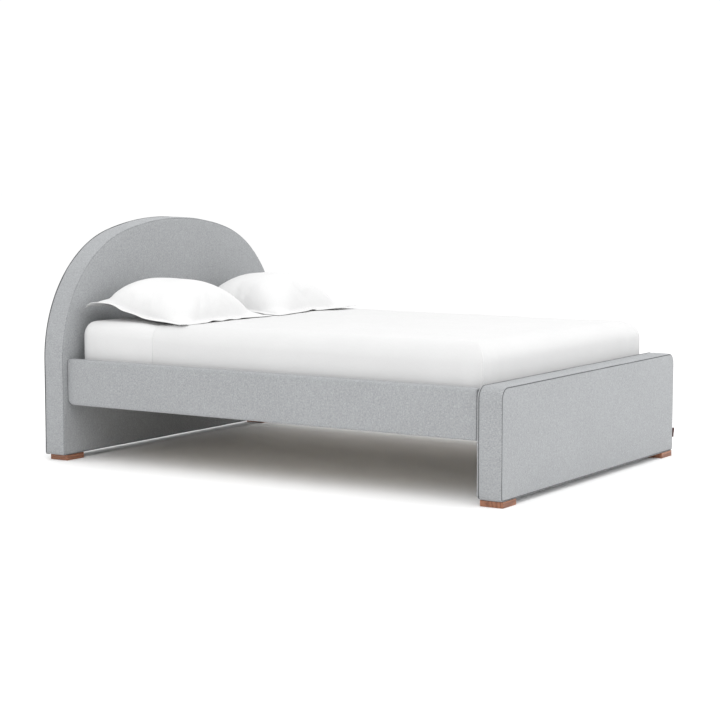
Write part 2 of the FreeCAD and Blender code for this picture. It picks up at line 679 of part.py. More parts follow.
def soft_block(name, grow, low, top):
    """A block with rounded corners and upper edges, larger than the mattress all round."""
    body = new_body(name)
    half_x, half_y = f"(mattress_wide / 2 + {grow})", f"(mattress_long / 2 + {grow})"
    corner = f"mattress_corner + {grow}"
    feature = pad(body, "XY_Plane", low, f"({top}) - ({low})", lambda s: rounded(
        s, f"-{half_x}", f"{MATTRESS_SHIFT} - {half_y}", half_x, f"{MATTRESS_SHIFT} + {half_y}",
        corner, corner))
    highest = max(range(len(feature.Shape.Faces)),
                  key=lambda i: feature.Shape.Faces[i].CenterOfMass.z)
    edge = body.newObject("PartDesign::Fillet", f"{name}_edge")
    edge.Base = (feature, [f"Face{highest + 1}"])
    bind(edge, Radius=f"mattress_edge + {grow}")
    return body


def made_up_mattress():
    mattress = node(soft_block("mattress", "0", MATTRESS_LOW, MATTRESS_TOP), "mattress")
    sheet_low, sheet_top = f"{MATTRESS_LOW} + sheet_hem", f"{MATTRESS_TOP} + sheet_thick"
    sheeted = soft_block("sheeted_mattress", "sheet_thick", sheet_low, sheet_top)
    node(less("fitted_sheet_shell", sheeted, mattress), "fitted_sheet")
    duvet_low = f"{MATTRESS_LOW} + duvet_hem"
    inside = soft_block("duvet_inside", "sheet_thick", f"{MATTRESS_LOW} - duvet_top", sheet_top)
    outside = soft_block("duvet_outside", "sheet_thick + duvet_side", duvet_low,
                         f"{sheet_top} + duvet_top")
    beyond = box("duvet_beyond", "-mattress_wide", "duvet_head", "0", "2 * mattress_wide",
                 "mattress_long", "2 * deck + mattress_tall")
    shell = less("duvet_shell", outside, inside)
    node(less("duvet_to_head_edge", shell, beyond), "duvet")


PILLOW_BASE = f"({MATTRESS_TOP} + sheet_thick + duvet_top + lift_gap)"
# Up through the pillow: share of its height, of its width and of its depth, and how far
# the section leans towards the headboard. It is flat underneath and fullest at the back.
PILLOW_SECTIONS = (
    (0.0, 0.86, 0.74, -30),
    (0.24, 1.0, 1.0, -14),
    (0.62, 0.93, 0.80, 14),
    (1.0, 0.50, 0.28, 34),
)


def pillow_form(name, centre_x, centre_y, skin):
    """A pillow lofted through rounded rectangles, thinner all round by the skin."""
    body = new_body(name)
    sections = []
    for share, wide, deep, lean in PILLOW_SECTIONS:
        lift = f"{skin} + (pillow_tall - 2 * {skin}) * {share}"
        sketch = new_sketch(body, "XY_Plane", f"{PILLOW_BASE} + {lift}")
        half_x = f"(pillow_wide * {wide} / 2 - {skin})"
        half_y = f"(pillow_deep * {deep} / 2 - {skin})"
        corner = f"pillow_deep * {deep} * 0.2 - {skin}"
        rounded(sketch, f"{centre_x} - {half_x}", f"{centre_y} + {lean} - {half_y}",
                f"{centre_x} + {half_x}", f"{centre_y} + {lean} + {half_y}", corner, corner)
        sections.append(sketch)
    loft = body.newObject("PartDesign::AdditiveLoft", f"{name}_loft")
    loft.Profile = sections[0]
    loft.Sections = sections[1:]
    loft.Ruled = False
    doc.recompute()
    return body


def pillows():
    for side, x, y in (("left", "-340", "712"), ("right", "304", "700")):
        insert = node(pillow_form(f"pillow_fill_{side}", x, y, "2"), f"pillow_insert_{side}")
        whole = pillow_form(f"pillow_whole_{side}", x, y, "0")
        node(less(f"pillow_cover_{side}", whole, insert), f"pillow_sham_{side}")


# ---- the whole bed ------------------------------------------------------------------------

headboard()
footboard()
for side_name, side_sign in SIDES:
    side_rail(side_name, side_sign)
rail_brackets("head", HEAD_FRONT, "-")
rail_brackets("foot", FOOT_INNER, "+")
slatted_base()
made_up_mattress()
pillows()
doc.recompute()

failed = [thing.Label for thing in doc.Objects
          if "Invalid" in thing.State or "Error" in thing.State]
if failed:
    raise RuntimeError(f"these objects failed: {failed}")
for thing in nodes:
    if thing.Shape.isNull() or not thing.Shape.isValid() or thing.Shape.Volume <= 0:
        raise RuntimeError(f"{thing.Label} has no valid solid")

os.makedirs("parts", exist_ok=True)
for thing in nodes:
    thing.Shape.exportStep(f"parts/{thing.Label}.step")
    extent = thing.Shape.optimalBoundingBox(False, False)
    print(f"{thing.Label:26s} {len(thing.Shape.Solids):3d} solid(s) {thing.Shape.Volume / 1e6:9.3f} l"
          f"   x {extent.XMin:7.1f} {extent.XMax:7.1f}   y {extent.YMin:8.1f} {extent.YMax:8.1f}"
          f"   z {extent.ZMin:7.1f} {extent.ZMax:7.1f}")
print(len(nodes), "nodes")
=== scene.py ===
"""The looks of an upholstered bed with an arched headboard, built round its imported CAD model.

Lengths are in metres. The head of the bed is towards +Y and +Z is up.
"""
import math

import bmesh
import bpy
import numpy as np
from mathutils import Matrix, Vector


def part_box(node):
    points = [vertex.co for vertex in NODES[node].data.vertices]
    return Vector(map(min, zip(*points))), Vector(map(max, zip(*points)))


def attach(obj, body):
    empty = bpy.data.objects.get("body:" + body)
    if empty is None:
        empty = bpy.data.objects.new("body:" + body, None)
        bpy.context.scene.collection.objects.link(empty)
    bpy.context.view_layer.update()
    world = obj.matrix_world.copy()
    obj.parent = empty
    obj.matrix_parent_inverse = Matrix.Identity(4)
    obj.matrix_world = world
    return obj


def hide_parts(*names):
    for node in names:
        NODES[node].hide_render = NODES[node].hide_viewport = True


MM = 0.001
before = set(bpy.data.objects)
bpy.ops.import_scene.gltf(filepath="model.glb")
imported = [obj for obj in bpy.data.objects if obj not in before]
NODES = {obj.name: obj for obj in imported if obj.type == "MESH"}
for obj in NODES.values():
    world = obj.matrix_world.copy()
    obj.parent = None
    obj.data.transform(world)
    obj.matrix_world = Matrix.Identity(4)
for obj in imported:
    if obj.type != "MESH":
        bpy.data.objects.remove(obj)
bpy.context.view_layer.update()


# ---- outlines -----------------------------------------------------------------------------

def line(x0, y0, x1, y1):
    return lambda f: (x0 + (x1 - x0) * f, y0 + (y1 - y0) * f)


def arc(cx, cy, r, start, end):
    return lambda f: (cx + r * math.cos(start + (end - start) * f),
                      cy + r * math.sin(start + (end - start) * f))


class Outline:
    """A loop or path given by segments that depend on how far it is set in.

    stretches holds, for each stretch between two marked points, its runs of evenly spaced
    points: first and last place, each (segment, share of it), and the number of steps.
    Points keep their place along the outline whatever the inset.
    """

    def __init__(self, segments, *stretches):
        self.segments = segments
        whole = segments(0.0)
        self.places, self.marks = [], [0]
        for stretch in stretches:
            for first, last, count in stretch:
                self._fill(whole, first, last, count)
            self.marks.append(len(self.places))
        self.places.append(self.end)
        points = self(0.0)
        steps = np.linalg.norm(np.diff(points, axis=0), axis=1)
        self.run = np.concatenate(([0.0], np.cumsum(steps)))

    def _fill(self, whole, first, last, count):
        """Spreads count steps evenly from place first to place last, each (segment, share)."""
        fine = []
        for index in range(int(first[0]), int(last[0]) + 1):
            low = first[1] if index == first[0] else 0.0
            high = last[1] if index == last[0] else 1.0
            fine += [(index, low + (high - low) * f) for f in np.linspace(0, 1, 60)]
        points = np.array([whole[index](share) for index, share in fine])
        run = np.concatenate(([0], np.cumsum(np.linalg.norm(np.diff(points, axis=0), axis=1))))
        for goal in np.linspace(0, run[-1], count + 1)[:-1]:
            after = min(max(int(np.searchsorted(run, goal)), 1), len(fine) - 1)
            if fine[after][0] != fine[after - 1][0]:
                self.places.append(fine[after])
                continue
            part = (goal - run[after - 1]) / max(run[after] - run[after - 1], 1e-12)
            (index, low), (_, high) = fine[after - 1], fine[after]
            self.places.append((index, low + (high - low) * part))
        self.end = fine[-1]

    def __call__(self, inset):
        segments = self.segments(inset)
        return np.array([segments[index](share) for index, share in self.places])


def arch_segments(half, low, top, corner):
    """The headboard: straight sides and a five-centred arch, from its lower right corner."""
    spring, side_r, shoulder_r, crown_r = 0.400, 1.500, 0.550, 1.400
    side_x, crown_y = half - side_r, top - crown_r
    near, far = side_r - shoulder_r, crown_r - shoulder_r
    apart = math.hypot(side_x, crown_y - spring)
    along = (near ** 2 - far ** 2 + apart ** 2) / (2 * apart)
    off = math.sqrt(near ** 2 - along ** 2)
    ux, uy = -side_x / apart, (crown_y - spring) / apart
    mid_x, mid_y = side_x + ux * along - uy * off, spring + uy * along + ux * off
    low_turn = math.atan2(mid_y - spring, mid_x - side_x)
    high_turn = math.atan2(mid_y - crown_y, mid_x)

    def segments(inset):
        r = max(corner - inset, 0.0005)
        a, z = half - inset, low + inset
        return [
            arc(a - r, z + r, r, -math.pi / 4, 0),
            line(a, z + r, a, spring),
            arc(side_x, spring, side_r - inset, 0, low_turn),
            arc(mid_x, mid_y, shoulder_r - inset, low_turn, high_turn),
            arc(0, crown_y, crown_r - inset, high_turn, math.pi - high_turn),
            arc(-mid_x, mid_y, shoulder_r - inset, math.pi - high_turn, math.pi - low_turn),
            arc(-side_x, spring, side_r - inset, math.pi - low_turn, math.pi),
            line(-a, spring, -a, z + r),
            arc(-a + r, z + r, r, -math.pi, -math.pi * 3 / 4),
            arc(-a + r, z + r, r, -math.pi * 3 / 4, -math.pi / 2),
            line(-a + r, z, a - r, z),
            arc(a - r, z + r, r, -math.pi / 2, -math.pi / 4),
        ]
    return segments


def box_segments(x0, y0, x1, y1, low_corner, high_corner):
    """A rectangle with rounded corners, from the middle of its lower right corner."""
    def segments(inset):
        lo, hi = max(low_corner - inset, 0.0005), max(high_corner - inset, 0.0005)
        a, b, c, d = x0 + inset, y0 + inset, x1 - inset, y1 - inset
        turn = math.pi / 4
        halves = [arc(x, y, r, start + half * turn, start + (half + 1) * turn)
                  for x, y, r, start in ((c - lo, b + lo, lo, -2 * turn), (c - hi, d - hi, hi, 0),
                                         (a + hi, d - hi, hi, 2 * turn),
                                         (a + lo, b + lo, lo, -4 * turn))
                  for half in (0, 1)]
        return [halves[1], line(c, b + lo, c, d - hi), halves[2],
                halves[3], line(c - hi, d, a + hi, d), halves[4],
                halves[5], line(a, d - hi, a, b + lo), halves[6],
                halves[7], line(a + lo, b, c - lo, b), halves[0]]
    return segments


def boxed_outline(box, across, up):
    return Outline(box, [((0, 0.0), (2, 1.0), up)], [((3, 0.0), (5, 1.0), across)],
                   [((6, 0.0), (8, 1.0), up)], [((9, 0.0), (11, 1.0), across)])


# ---- meshes -------------------------------------------------------------------------------

class Shape:
    """A surface gathered from lattices, each of points and their cloth coordinates."""

    def __init__(self, *lattices):
        self.points, self.faces, self.uvs, self.count = [], [], [], 0
        for points, uv in lattices:
            self.lattice(points, uv)

    def lattice(self, points, uv):
        rows, columns = points.shape[:2]
        index = self.count + np.arange(rows * columns).reshape(rows, columns)
        corners = ((slice(None, -1), slice(None, -1)), (slice(None, -1), slice(1, None)),
                   (slice(1, None), slice(1, None)), (slice(1, None), slice(None, -1)))
        self.faces.append(np.stack([index[c] for c in corners], axis=-1).reshape(-1, 4))
        self.uvs.append(np.stack([uv[c] for c in corners], axis=-2).reshape(-1, 4, 2))
        self.points.append(points.reshape(-1, 3))
        self.count += rows * columns

    def arrays(self):
        """Welded points and their indices, faces, and the cloth coordinates of their corners."""
        points = np.concatenate(self.points)
        quads, uvs = np.concatenate(self.faces), np.concatenate(self.uvs)
        keys = np.round(points / 2e-6).astype(np.int64)
        _, first, back = np.unique(keys, axis=0, return_index=True, return_inverse=True)
        quads = back.reshape(-1)[quads]
        faces, corner_uvs = [], []
        for quad, quad_uv in zip(quads, uvs):
            keep = [k for k in range(4) if quad[k] != quad[k - 1]]
            if len(set(quad[keep])) >= 3 and len(set(quad[keep])) == len(keep):
                faces.append([int(quad[k]) for k in keep])
                corner_uvs.append([tuple(quad_uv[k]) for k in keep])
        return points[first], first, faces, corner_uvs


def mesh_object(name, points, faces, corner_uvs, material, flip_inner=0):
    """A smooth-shaded object whose faces all look outwards."""
    mesh = bpy.data.meshes.new(name)
    mesh.from_pydata([tuple(p) for p in points], [], faces)
    layer = mesh.uv_layers.new(name="UVMap")
    layer.data.foreach_set("uv", np.array([c for face in corner_uvs for c in face]).ravel())
    work = bmesh.new()
    work.from_mesh(mesh)
    bmesh.ops.recalc_face_normals(work, faces=work.faces)
    work.faces.ensure_lookup_table()
    if flip_inner:
        bmesh.ops.reverse_faces(work, faces=work.faces[-flip_inner:])
    work.to_mesh(mesh)
    work.free()
    mesh.shade_smooth()
    mesh.materials.append(material)
    thing = bpy.data.objects.new(name, mesh)
    bpy.context.scene.collection.objects.link(thing)
    return thing


def closed_object(name, shape, material):
    points, _, faces, corner_uvs = shape.arrays()
    return mesh_object(name, points, faces, corner_uvs, material)


def shell_object(name, outer, inner, material):
    """A piece of cloth with two faces: outer and inner are Shapes of the same layout."""
    above, first, faces, corner_uvs = outer.arrays()
    below = np.concatenate(inner.points)[first]
    size = len(above)
    seen = {}
    for face, uv in zip(faces, corner_uvs):
        for k in range(len(face)):
            a, b = face[k - 1], face[k]
            if seen.pop((b, a), None) is None and seen.pop((a, b), None) is None:
                seen[(a, b)] = (uv[k - 1], uv[k])
    rim = [[a, b, b + size, a + size] for a, b in seen]
    rim_uv = [[p, q, q, p] for p, q in seen.values()]
    under = [[v + size for v in reversed(face)] for face in faces]
    under_uv = [list(reversed(uv)) for uv in corner_uvs]
    return mesh_object(name, np.concatenate([above, below]), faces + under + rim,
                       corner_uvs + under_uv + rim_uv, material)


def upright(outline, profile, face_y, inwards):
    """Rows of points round an outline that stands in the XZ plane; profile is (inset, depth)."""
    return level(outline, [(inset, face_y + inwards * depth) for inset, depth in profile])[
        ..., [0, 2, 1]]


def level(outline, profile):
    """Rows of points round an outline that lies in the XY plane; profile is (inset, height)."""
    return np.array([np.insert(outline(inset), 2, height, axis=1) for inset, height in profile])


def run_uv(outline, rows):
    """Cloth coordinates that follow the outline and the profile."""
    steps = np.linalg.norm(np.diff(rows, axis=0), axis=2).mean(axis=1)
    up = np.concatenate(([0.0], np.cumsum(steps)))
    u, v = np.meshgrid(outline.run, up)
    return np.stack([u, v], axis=-1)


def patch(right, top, left, base):
    """The inside of a loop of four stretches, as a lattice. Each is given anticlockwise."""
    top, left = top[::-1], left[::-1]
    s = np.linspace(0, 1, len(base))[None, :, None]
    t = np.linspace(0, 1, len(left))[:, None, None]
    sides = (1 - s) * left[:, None] + s * right[:, None]
    ends = (1 - t) * base[None] + t * top[None]
    corners = ((1 - s) * (1 - t) * base[0] + s * (1 - t) * base[-1]
               + (1 - s) * t * top[0] + s * t * top[-1])
    return sides + ends - corners


def loop_patch(outline, row):
    m = outline.marks
    return patch(row[m[0]:m[1] + 1], row[m[1]:m[2] + 1], row[m[2]:m[3] + 1], row[m[3]:])


def waves(count, shortest, longest, seed):
    """A smooth random height from -1 to 1 or so, as a function of two coordinates."""
    draw = np.random.default_rng(seed)
    turn = draw.uniform(0, math.pi, count)
    pitch = np.exp(draw.uniform(math.log(shortest), math.log(longest), count))
    phase = draw.uniform(0, 2 * math.pi, count)
    weight = (pitch / longest) ** 0.7
    weight /= weight.sum()

    def height(x, y):
        total = 0
        for k in range(count):
            along = x * math.cos(turn[k]) + y * math.sin(turn[k])
            total = total + weight[k] * np.sin(2 * math.pi * along / pitch[k] + phase[k])
        return total * 2
    return height


def fade(value, low, high):
    t = np.clip((value - low) / (high - low), 0, 1)
    return t * t * (3 - 2 * t)


# ---- materials ----------------------------------------------------------------------------

class Finish:
    """A material and short ways to add nodes to it."""

    def __init__(self, name, **sockets):
        self.material = bpy.data.materials.new(name)
        self.material.use_nodes = True
        self.nodes = self.material.node_tree.nodes
        self.links = self.material.node_tree.links
        self.shader = self.nodes["Principled BSDF"]
        self.surface(**sockets)

    def put(self, node, socket, value):
        goal = node.inputs[socket]
        if isinstance(value, bpy.types.NodeSocket):
            self.links.new(value, goal)
        elif isinstance(value, tuple) and len(value) == 3 and goal.type == "RGBA":
            goal.default_value = (*value, 1.0)
        else:
            goal.default_value = value

    def surface(self, **sockets):
        """Sets the shader's own sockets and gives the material."""
        for socket, value in sockets.items():
            self.put(self.shader, socket.replace("_", " "), value)
        return self.material

    def add(self, kind, inputs=(), out=0, **settings):
        node = self.nodes.new(f"ShaderNode{kind}")
        for setting, value in settings.items():
            setattr(node, setting, value)
        for socket, value in dict(inputs).items():
            self.put(node, socket, value)
        return node.outputs[out]

    def math(self, operation, a, b=0.0, c=0.0):
        return self.add("Math", {0: a, 1: b, 2: c}, operation=operation)

    def times(self, a, b):
        return self.math("MULTIPLY", a, b)

    def split(self, vector):
        return self.add("SeparateXYZ", {0: vector}, slice(None))

    def cloth(self, across=1.0, along=1.0):
        """Coordinates on the cloth, in metres, stretched by the two factors."""
        uv = self.add("UVMap", uv_map="UVMap")
        return self.add("Mapping", {"Vector": uv, "Scale": (across, along, 1.0)})

    def place(self, *scale):
        """Coordinates in the bed's own space, in metres."""
        return self.add("Mapping", {"Vector": self.add("TexCoord", out=3),
                                    "Scale": scale or (1.0, 1.0, 1.0)})

    def noise(self, where, scale, detail=2.0, rough=0.5, distortion=0.0):
        return self.add("TexNoise", {"Vector": where, "Scale": scale, "Detail": detail,
                                     "Roughness": rough, "Distortion": distortion})

    def bands(self, where, scale, direction="X", distortion=0.0, detail=2.0, detail_scale=1.0):
        return self.add("TexWave", {"Vector": where, "Scale": scale, "Distortion": distortion,
                                    "Detail": detail, "Detail Scale": detail_scale},
                        bands_direction=direction)

    def ramp(self, value, *stops):
        node = self.nodes.new("ShaderNodeValToRGB")
        self.links.new(value, node.inputs[0])
        while len(node.color_ramp.elements) < len(stops):
            node.color_ramp.elements.new(0.5)
        for element, (where, colour) in zip(node.color_ramp.elements, stops):
            element.position = where
            element.color = (*colour, 1.0) if isinstance(colour, tuple) else (colour,) * 3 + (1.0,)
        return node.outputs[0]

    def mix(self, a, b, share=0.5, how="MIX"):
        return self.add("Mix", {0: share, 6: a, 7: b}, 2, data_type="RGBA", blend_type=how)

    def shaded(self, colour, value, *stops):
        """A colour made darker and lighter by a ramp over a value."""
        return self.mix(colour, self.ramp(value, *stops), 1.0, "MULTIPLY")

    def bump(self, height, distance, strength=1.0, before=None):
        inputs = {"Height": height, "Distance": distance, "Strength": strength}
        if before is not None:
            inputs["Normal"] = before
        return self.add("Bump", inputs)

    def weave(self, pitch):
        """Plain weave: threads over and under each other, as (height, thread across or not)."""
        x, y, _ = self.split(self.cloth(1 / pitch, 1 / pitch))
        cell = self.math("ADD", self.math("FLOOR", x), self.math("FLOOR", y))
        odd = self.math("MODULO", self.math("ABSOLUTE", cell), 2.0)
        ridge_x, ridge_y = (self.math("SINE", self.times(self.math("FRACT", run), math.pi))
                            for run in (x, y))
        across = self.times(ridge_x, self.math("MULTIPLY_ADD", ridge_y, 0.6, 0.4))
        along = self.times(ridge_y, self.math("MULTIPLY_ADD", ridge_x, 0.6, 0.4))
        return self.add("Mix", {0: odd, 2: across, 3: along}), odd


def heather_fabric(name, light, dark, depth=0.00022):
    """A mottled grey plain weave: every thread is spun of lighter and darker fibre."""
    f = Finish(name, Roughness=0.92, Sheen_Weight=0.18, Sheen_Roughness=0.45,
               Sheen_Tint=(0.95, 0.97, 1.0), Specular_IOR_Level=0.22)
    height, odd = f.weave(0.0016)
    warp = f.noise(f.cloth(1.0, 0.16), 520.0, 2.0, 0.6)
    weft = f.noise(f.cloth(0.16, 1.0), 520.0, 2.0, 0.6)
    thread = f.ramp(f.add("Mix", {0: odd, 2: warp, 3: weft}), (0.30, dark), (0.68, light))
    fleck = f.noise(f.cloth(1.0, 0.7), 190.0, 4.0, 0.75)
    pale = f.ramp(fleck, (0.54, 0.0), (0.70, 1.0))
    deep = f.ramp(fleck, (0.30, 1.0), (0.46, 0.0))
    colour = f.mix(thread, tuple(c * 1.40 for c in light), f.times(pale, 0.62))
    colour = f.mix(colour, tuple(c * 0.60 for c in dark), f.times(deep, 0.52))
    streak = f.noise(f.cloth(1.0, 0.30), 75.0, 3.0, 0.6)
    colour = f.shaded(colour, streak, (0.35, 0.955), (0.65, 1.035))
    cloud = f.noise(f.cloth(), 3.5)
    colour = f.shaded(colour, cloud, (0.30, 0.975), (0.70, 1.015))
    slub = f.bump(fleck, 0.0006, 0.5)
    return f.surface(Base_Color=colour, Roughness=f.math("MULTIPLY_ADD", height, -0.10, 0.96),
                     Normal=f.bump(height, depth, 0.9, slub))


def cotton(name, white, pitch, crease, sheen, rough):
    """Fine white bed linen, with the weave and the faint creases of washed cotton."""
    f = Finish(name, Roughness=rough, Sheen_Weight=sheen, Sheen_Roughness=0.5,
               Specular_IOR_Level=0.25)
    height, _ = f.weave(pitch)
    thread = f.noise(f.cloth(1.0, 0.2), 700.0)
    shade = f.shaded(f.ramp(thread, (0.3, 0.955), (0.7, 1.0)),
                     f.noise(f.place(), 5.0, 3.0, 0.6), (0.3, 0.975), (0.7, 1.0))
    soft = f.bump(f.noise(f.place(), 16.0, 3.0, 0.5, 0.6), crease, 0.35)
    return f.surface(Base_Color=f.mix((white,) * 3, shade, 1.0, "MULTIPLY"),
                     Roughness=f.math("MULTIPLY_ADD", height, -0.08, rough + 0.04),
                     Normal=f.bump(height, 0.00008, 0.5, soft))


def wood(name, tones, grain, roughness, ring, coat=0.0):
    """Straight-grained timber: growth rings drawn out along the grain, with fine pores."""
    stretch = [0.06 if axis == grain else 1.0 for axis in "xyz"]
    f = Finish(name, Roughness=roughness, Coat_Weight=coat, Coat_Roughness=0.35,
               Specular_IOR_Level=0.4)
    where = f.place(*stretch)
    wander = f.add("TexNoise", {"Vector": where, "Scale": 3.0, "Detail": 2.0}, 1)
    warped = f.add("VectorMath", {0: where, 1: wander}, operation="ADD")
    rings = f.bands(warped, ring, "DIAGONAL", 3.5, 2.0, 1.6)
    fibre = f.noise(f.place(*(s * 0.35 if s < 1 else s for s in stretch)), 420.0, 3.0, 0.6)
    colour = f.ramp(rings, *zip((0.0, 0.45, 1.0), tones))
    return f.surface(Base_Color=f.shaded(colour, fibre, (0.35, 0.80), (0.62, 1.06)),
                     Roughness=f.math("MULTIPLY_ADD", fibre, -0.2, roughness + 0.1),
                     Normal=f.bump(fibre, 0.0003, 0.25))


def plywood(name):
    """Birch ply: pale rotary-cut faces and thin dark glue lines on the cut edges."""
    f = Finish(name, Roughness=0.62, Specular_IOR_Level=0.35)
    figure = f.bands(f.place(0.5, 1.0, 0.09), 16.0, "X", 9.0, 3.0, 1.2)
    face = f.ramp(figure, (0.0, (0.60, 0.44, 0.27)), (0.6, (0.70, 0.54, 0.35)),
                  (1.0, (0.76, 0.61, 0.42)))
    layer = f.math("FRACT", f.times(f.split(f.place())[1], 1 / 0.003))
    edge = f.ramp(layer, (0.0, (0.25, 0.15, 0.08)), (0.12, (0.66, 0.50, 0.32)),
                  (0.55, (0.58, 0.42, 0.26)))
    normal_y = f.split(f.add("NewGeometry", out=1))[1]
    facing = f.math("GREATER_THAN", f.math("ABSOLUTE", normal_y), 0.7)
    return f.surface(Base_Color=f.mix(edge, face, facing),
                     Normal=f.bump(f.noise(f.place(1.0, 1.0, 0.1), 300.0, 3.0), 0.0003, 0.3))


def steel(name, colour, metallic, roughness, speck):
    """Coated or plated steel with a fine orange-peel or brushed surface."""
    f = Finish(name, Metallic=metallic, Roughness=roughness, Specular_IOR_Level=0.5)
    grain, cloud = f.noise(f.place(), speck, 3.0, 0.6), f.noise(f.place(), 24.0)
    return f.surface(Base_Color=f.shaded(colour, cloud, (0.3, 0.86), (0.7, 1.08)),
                     Roughness=f.math("MULTIPLY_ADD", grain, 0.22, roughness - 0.1),
                     Normal=f.bump(grain, 0.0002, 0.35))


def webbing_fabric(name):
    """Herringbone webbing with two coloured threads."""
    f = Finish(name, Roughness=0.8, Sheen_Weight=0.1, Specular_IOR_Level=0.3)
    twill = f.bands(f.place(1.0, 1.0, 0.0), 160.0, "DIAGONAL", 0.4)
    stripe = f.math("PINGPONG", f.split(f.place())[0], 0.0075)
    base = f.ramp(twill, (0.2, (0.62, 0.60, 0.55)), (0.8, (0.80, 0.78, 0.72)))
    colour = f.mix(base, (0.25, 0.27, 0.30), f.math("LESS_THAN", stripe, 0.0012))
    return f.surface(Base_Color=colour, Normal=f.bump(twill, 0.0004, 0.6))


def quilted_ticking(name):
    """Mattress ticking, quilted in soft diamonds."""
    f = Finish(name, Roughness=0.85, Sheen_Weight=0.15, Specular_IOR_Level=0.25)
    x, y, _ = f.split(f.cloth())
    one, two = (f.math("SINE", f.times(f.math("PINGPONG", f.math(how, x, y), 0.035),
                                       math.pi / 0.07)) for how in ("ADD", "SUBTRACT"))
    pillowed = f.math("POWER", f.times(one, two), 0.35)
    damask = f.noise(f.cloth(), 90.0)
    knit, _ = f.weave(0.0012)
    return f.surface(Base_Color=f.ramp(damask, (0.42, (0.80, 0.80, 0.79)),
                                       (0.58, (0.86, 0.86, 0.85))),
                     Normal=f.bump(knit, 0.0001, 0.6, f.bump(pillowed, 0.004, 0.8)))


def label_ribbon(name, wide, tall):
    """A plain dark red ribbon with a paler woven panel in the middle and nothing on it."""
    f = Finish(name, Roughness=0.8, Specular_IOR_Level=0.15)
    x, y, _ = f.split(f.cloth())
    near_x, near_y = (
        f.math("LESS_THAN", f.math("ABSOLUTE", f.math("SUBTRACT", at, size / 2)), size * share)
        for at, size, share in ((x, wide, 0.13), (y, tall, 0.27)))
    rib = f.bands(f.cloth(), 330.0, "Y")
    red = f.ramp(rib, (0.2, (0.036, 0.007, 0.006)), (0.8, (0.062, 0.012, 0.010)))
    pale = f.ramp(rib, (0.2, (0.30, 0.22, 0.20)), (0.8, (0.40, 0.32, 0.29)))
    return f.surface(Base_Color=f.mix(red, pale, f.times(near_x, near_y)),
                     Normal=f.bump(rib, 0.0002, 0.7))


UPHOLSTERY = heather_fabric("heather_grey_fabric", (0.380, 0.389, 0.398), (0.260, 0.268, 0.276))
# Welt cloth painted far darker than the upholstery it matches: painted seam shadow along the
# welts.
PAINTED_SEAM_SHADOW = heather_fabric("heather_grey_painted_seam_shadow", (0.115, 0.119, 0.123), (0.08, 0.083, 0.086), 0.00015)
# Welt cloth painted somewhat darker than the upholstery: a softer painted seam shadow on the
# headboard's front seam.
SOFT_PAINTED_SEAM_SHADOW = heather_fabric("heather_grey_soft_painted_seam_shadow", (0.29, 0.297, 0.304), (0.21, 0.216, 0.222),
                           0.00015)
LINEN = cotton("white_sateen", 0.63, 0.0006, 0.0014, 0.15, 0.78)
PERCALE = cotton("white_percale", 0.665, 0.0008, 0.0008, 0.08, 0.86)
SHAM = cotton("white_sham_cotton", 0.685, 0.0006, 0.0018, 0.15, 0.78)
TICKING = quilted_ticking("quilted_ticking")
WALNUT_TONES = ((0.20, 0.080, 0.043), (0.27, 0.112, 0.060), (0.33, 0.140, 0.076))
PINE_TONES = ((0.38, 0.31, 0.225), (0.47, 0.40, 0.305), (0.53, 0.46, 0.36))
WALNUT = wood("oiled_walnut", WALNUT_TONES, "x", 0.46, 22.0, 0.10)
PINE_X = wood("planed_pine_across", PINE_TONES, "x", 0.58, 18.0)
PINE_Y = wood("planed_pine_along", PINE_TONES, "y", 0.60, 16.0)
PINE_Z = wood("sawn_pine_upright", PINE_TONES, "z", 0.66, 14.0)
PLY = plywood("birch_plywood")
BLACK = steel("black_powder_coat", (0.022, 0.022, 0.024), 0.0, 0.48, 900.0)
ZINC = steel("bright_zinc", (0.62, 0.63, 0.64), 1.0, 0.34, 1400.0)
WEBBING = webbing_fabric("slat_webbing")

# CAD nodes that are shown as they are: how their names start, material, edge rounding in mm.
KEPT = (
    (("headboard_foot", "footboard_foot"), WALNUT, 0.8),
    (("headboard_front_panel", "footboard_outer_panel", "footboard_inner_panel"), PLY, 0),
    (("headboard_rib_frame", "footboard_rib_frame"), PINE_Z, 0),
    (("side_rail_board", "slat_ledger"), PINE_Y, 0),
    ("slat_straps", WEBBING, 0), ("slat_", PINE_X, 2.5),
    ("centre_beam", BLACK, 1.5), (("beam_brackets", "rail_brackets"), BLACK, 0.6),
    (("bracket_bolts", "foot_screws", "ledger_screws"), ZINC, 0),
)


def finish_kept_nodes():
    for name, thing in NODES.items():
        match = next((row for row in KEPT if name.startswith(row[0])), None)
        if match is None:
            continue
        _, material, rounding = match
        thing.data.materials.clear()
        thing.data.materials.append(material)
        if rounding:
            thing.modifiers.new("weld", "WELD").merge_threshold = 1e-5
            bevel = thing.modifiers.new("bevel", "BEVEL")
            bevel.width = rounding * MM
            bevel.segments = 3
            bevel.limit_method = "ANGLE"
            bevel.angle_limit = math.radians(50)


# ---- the two upholstered ends -------------------------------------------------------------

def mm_pairs(*pairs):
    """Insets and depths given in millimetres."""
    return [(a * MM, b * MM) for a, b in pairs]


def full_band(start, stop, crown):
    """Insets and depths across a border band, which stands proud by the crown in its middle."""
    return [(-crown * math.sin(math.pi * k / 6), start + (stop - start) * k / 6)
            for k in range(1, 6)]


def unchanged(rows):
    """No further shaping."""


def eased_underside(inner_y, low_z, radius):
    """Rounds a panel's lower edge on the bed's side by drawing a square corner into an arc."""
    def ease(rows):
        across = radius - (inner_y - rows[..., 1])
        down = radius - (rows[..., 2] - low_z)
        near = (across > 0) & (down > 0)
        share = np.maximum(across, down) / np.maximum(np.hypot(across, down), 1e-9)
        rows[..., 1] = np.where(near, inner_y - radius + across * share, rows[..., 1])
        rows[..., 2] = np.where(near, low_z + radius - down * share, rows[..., 2])
    return ease


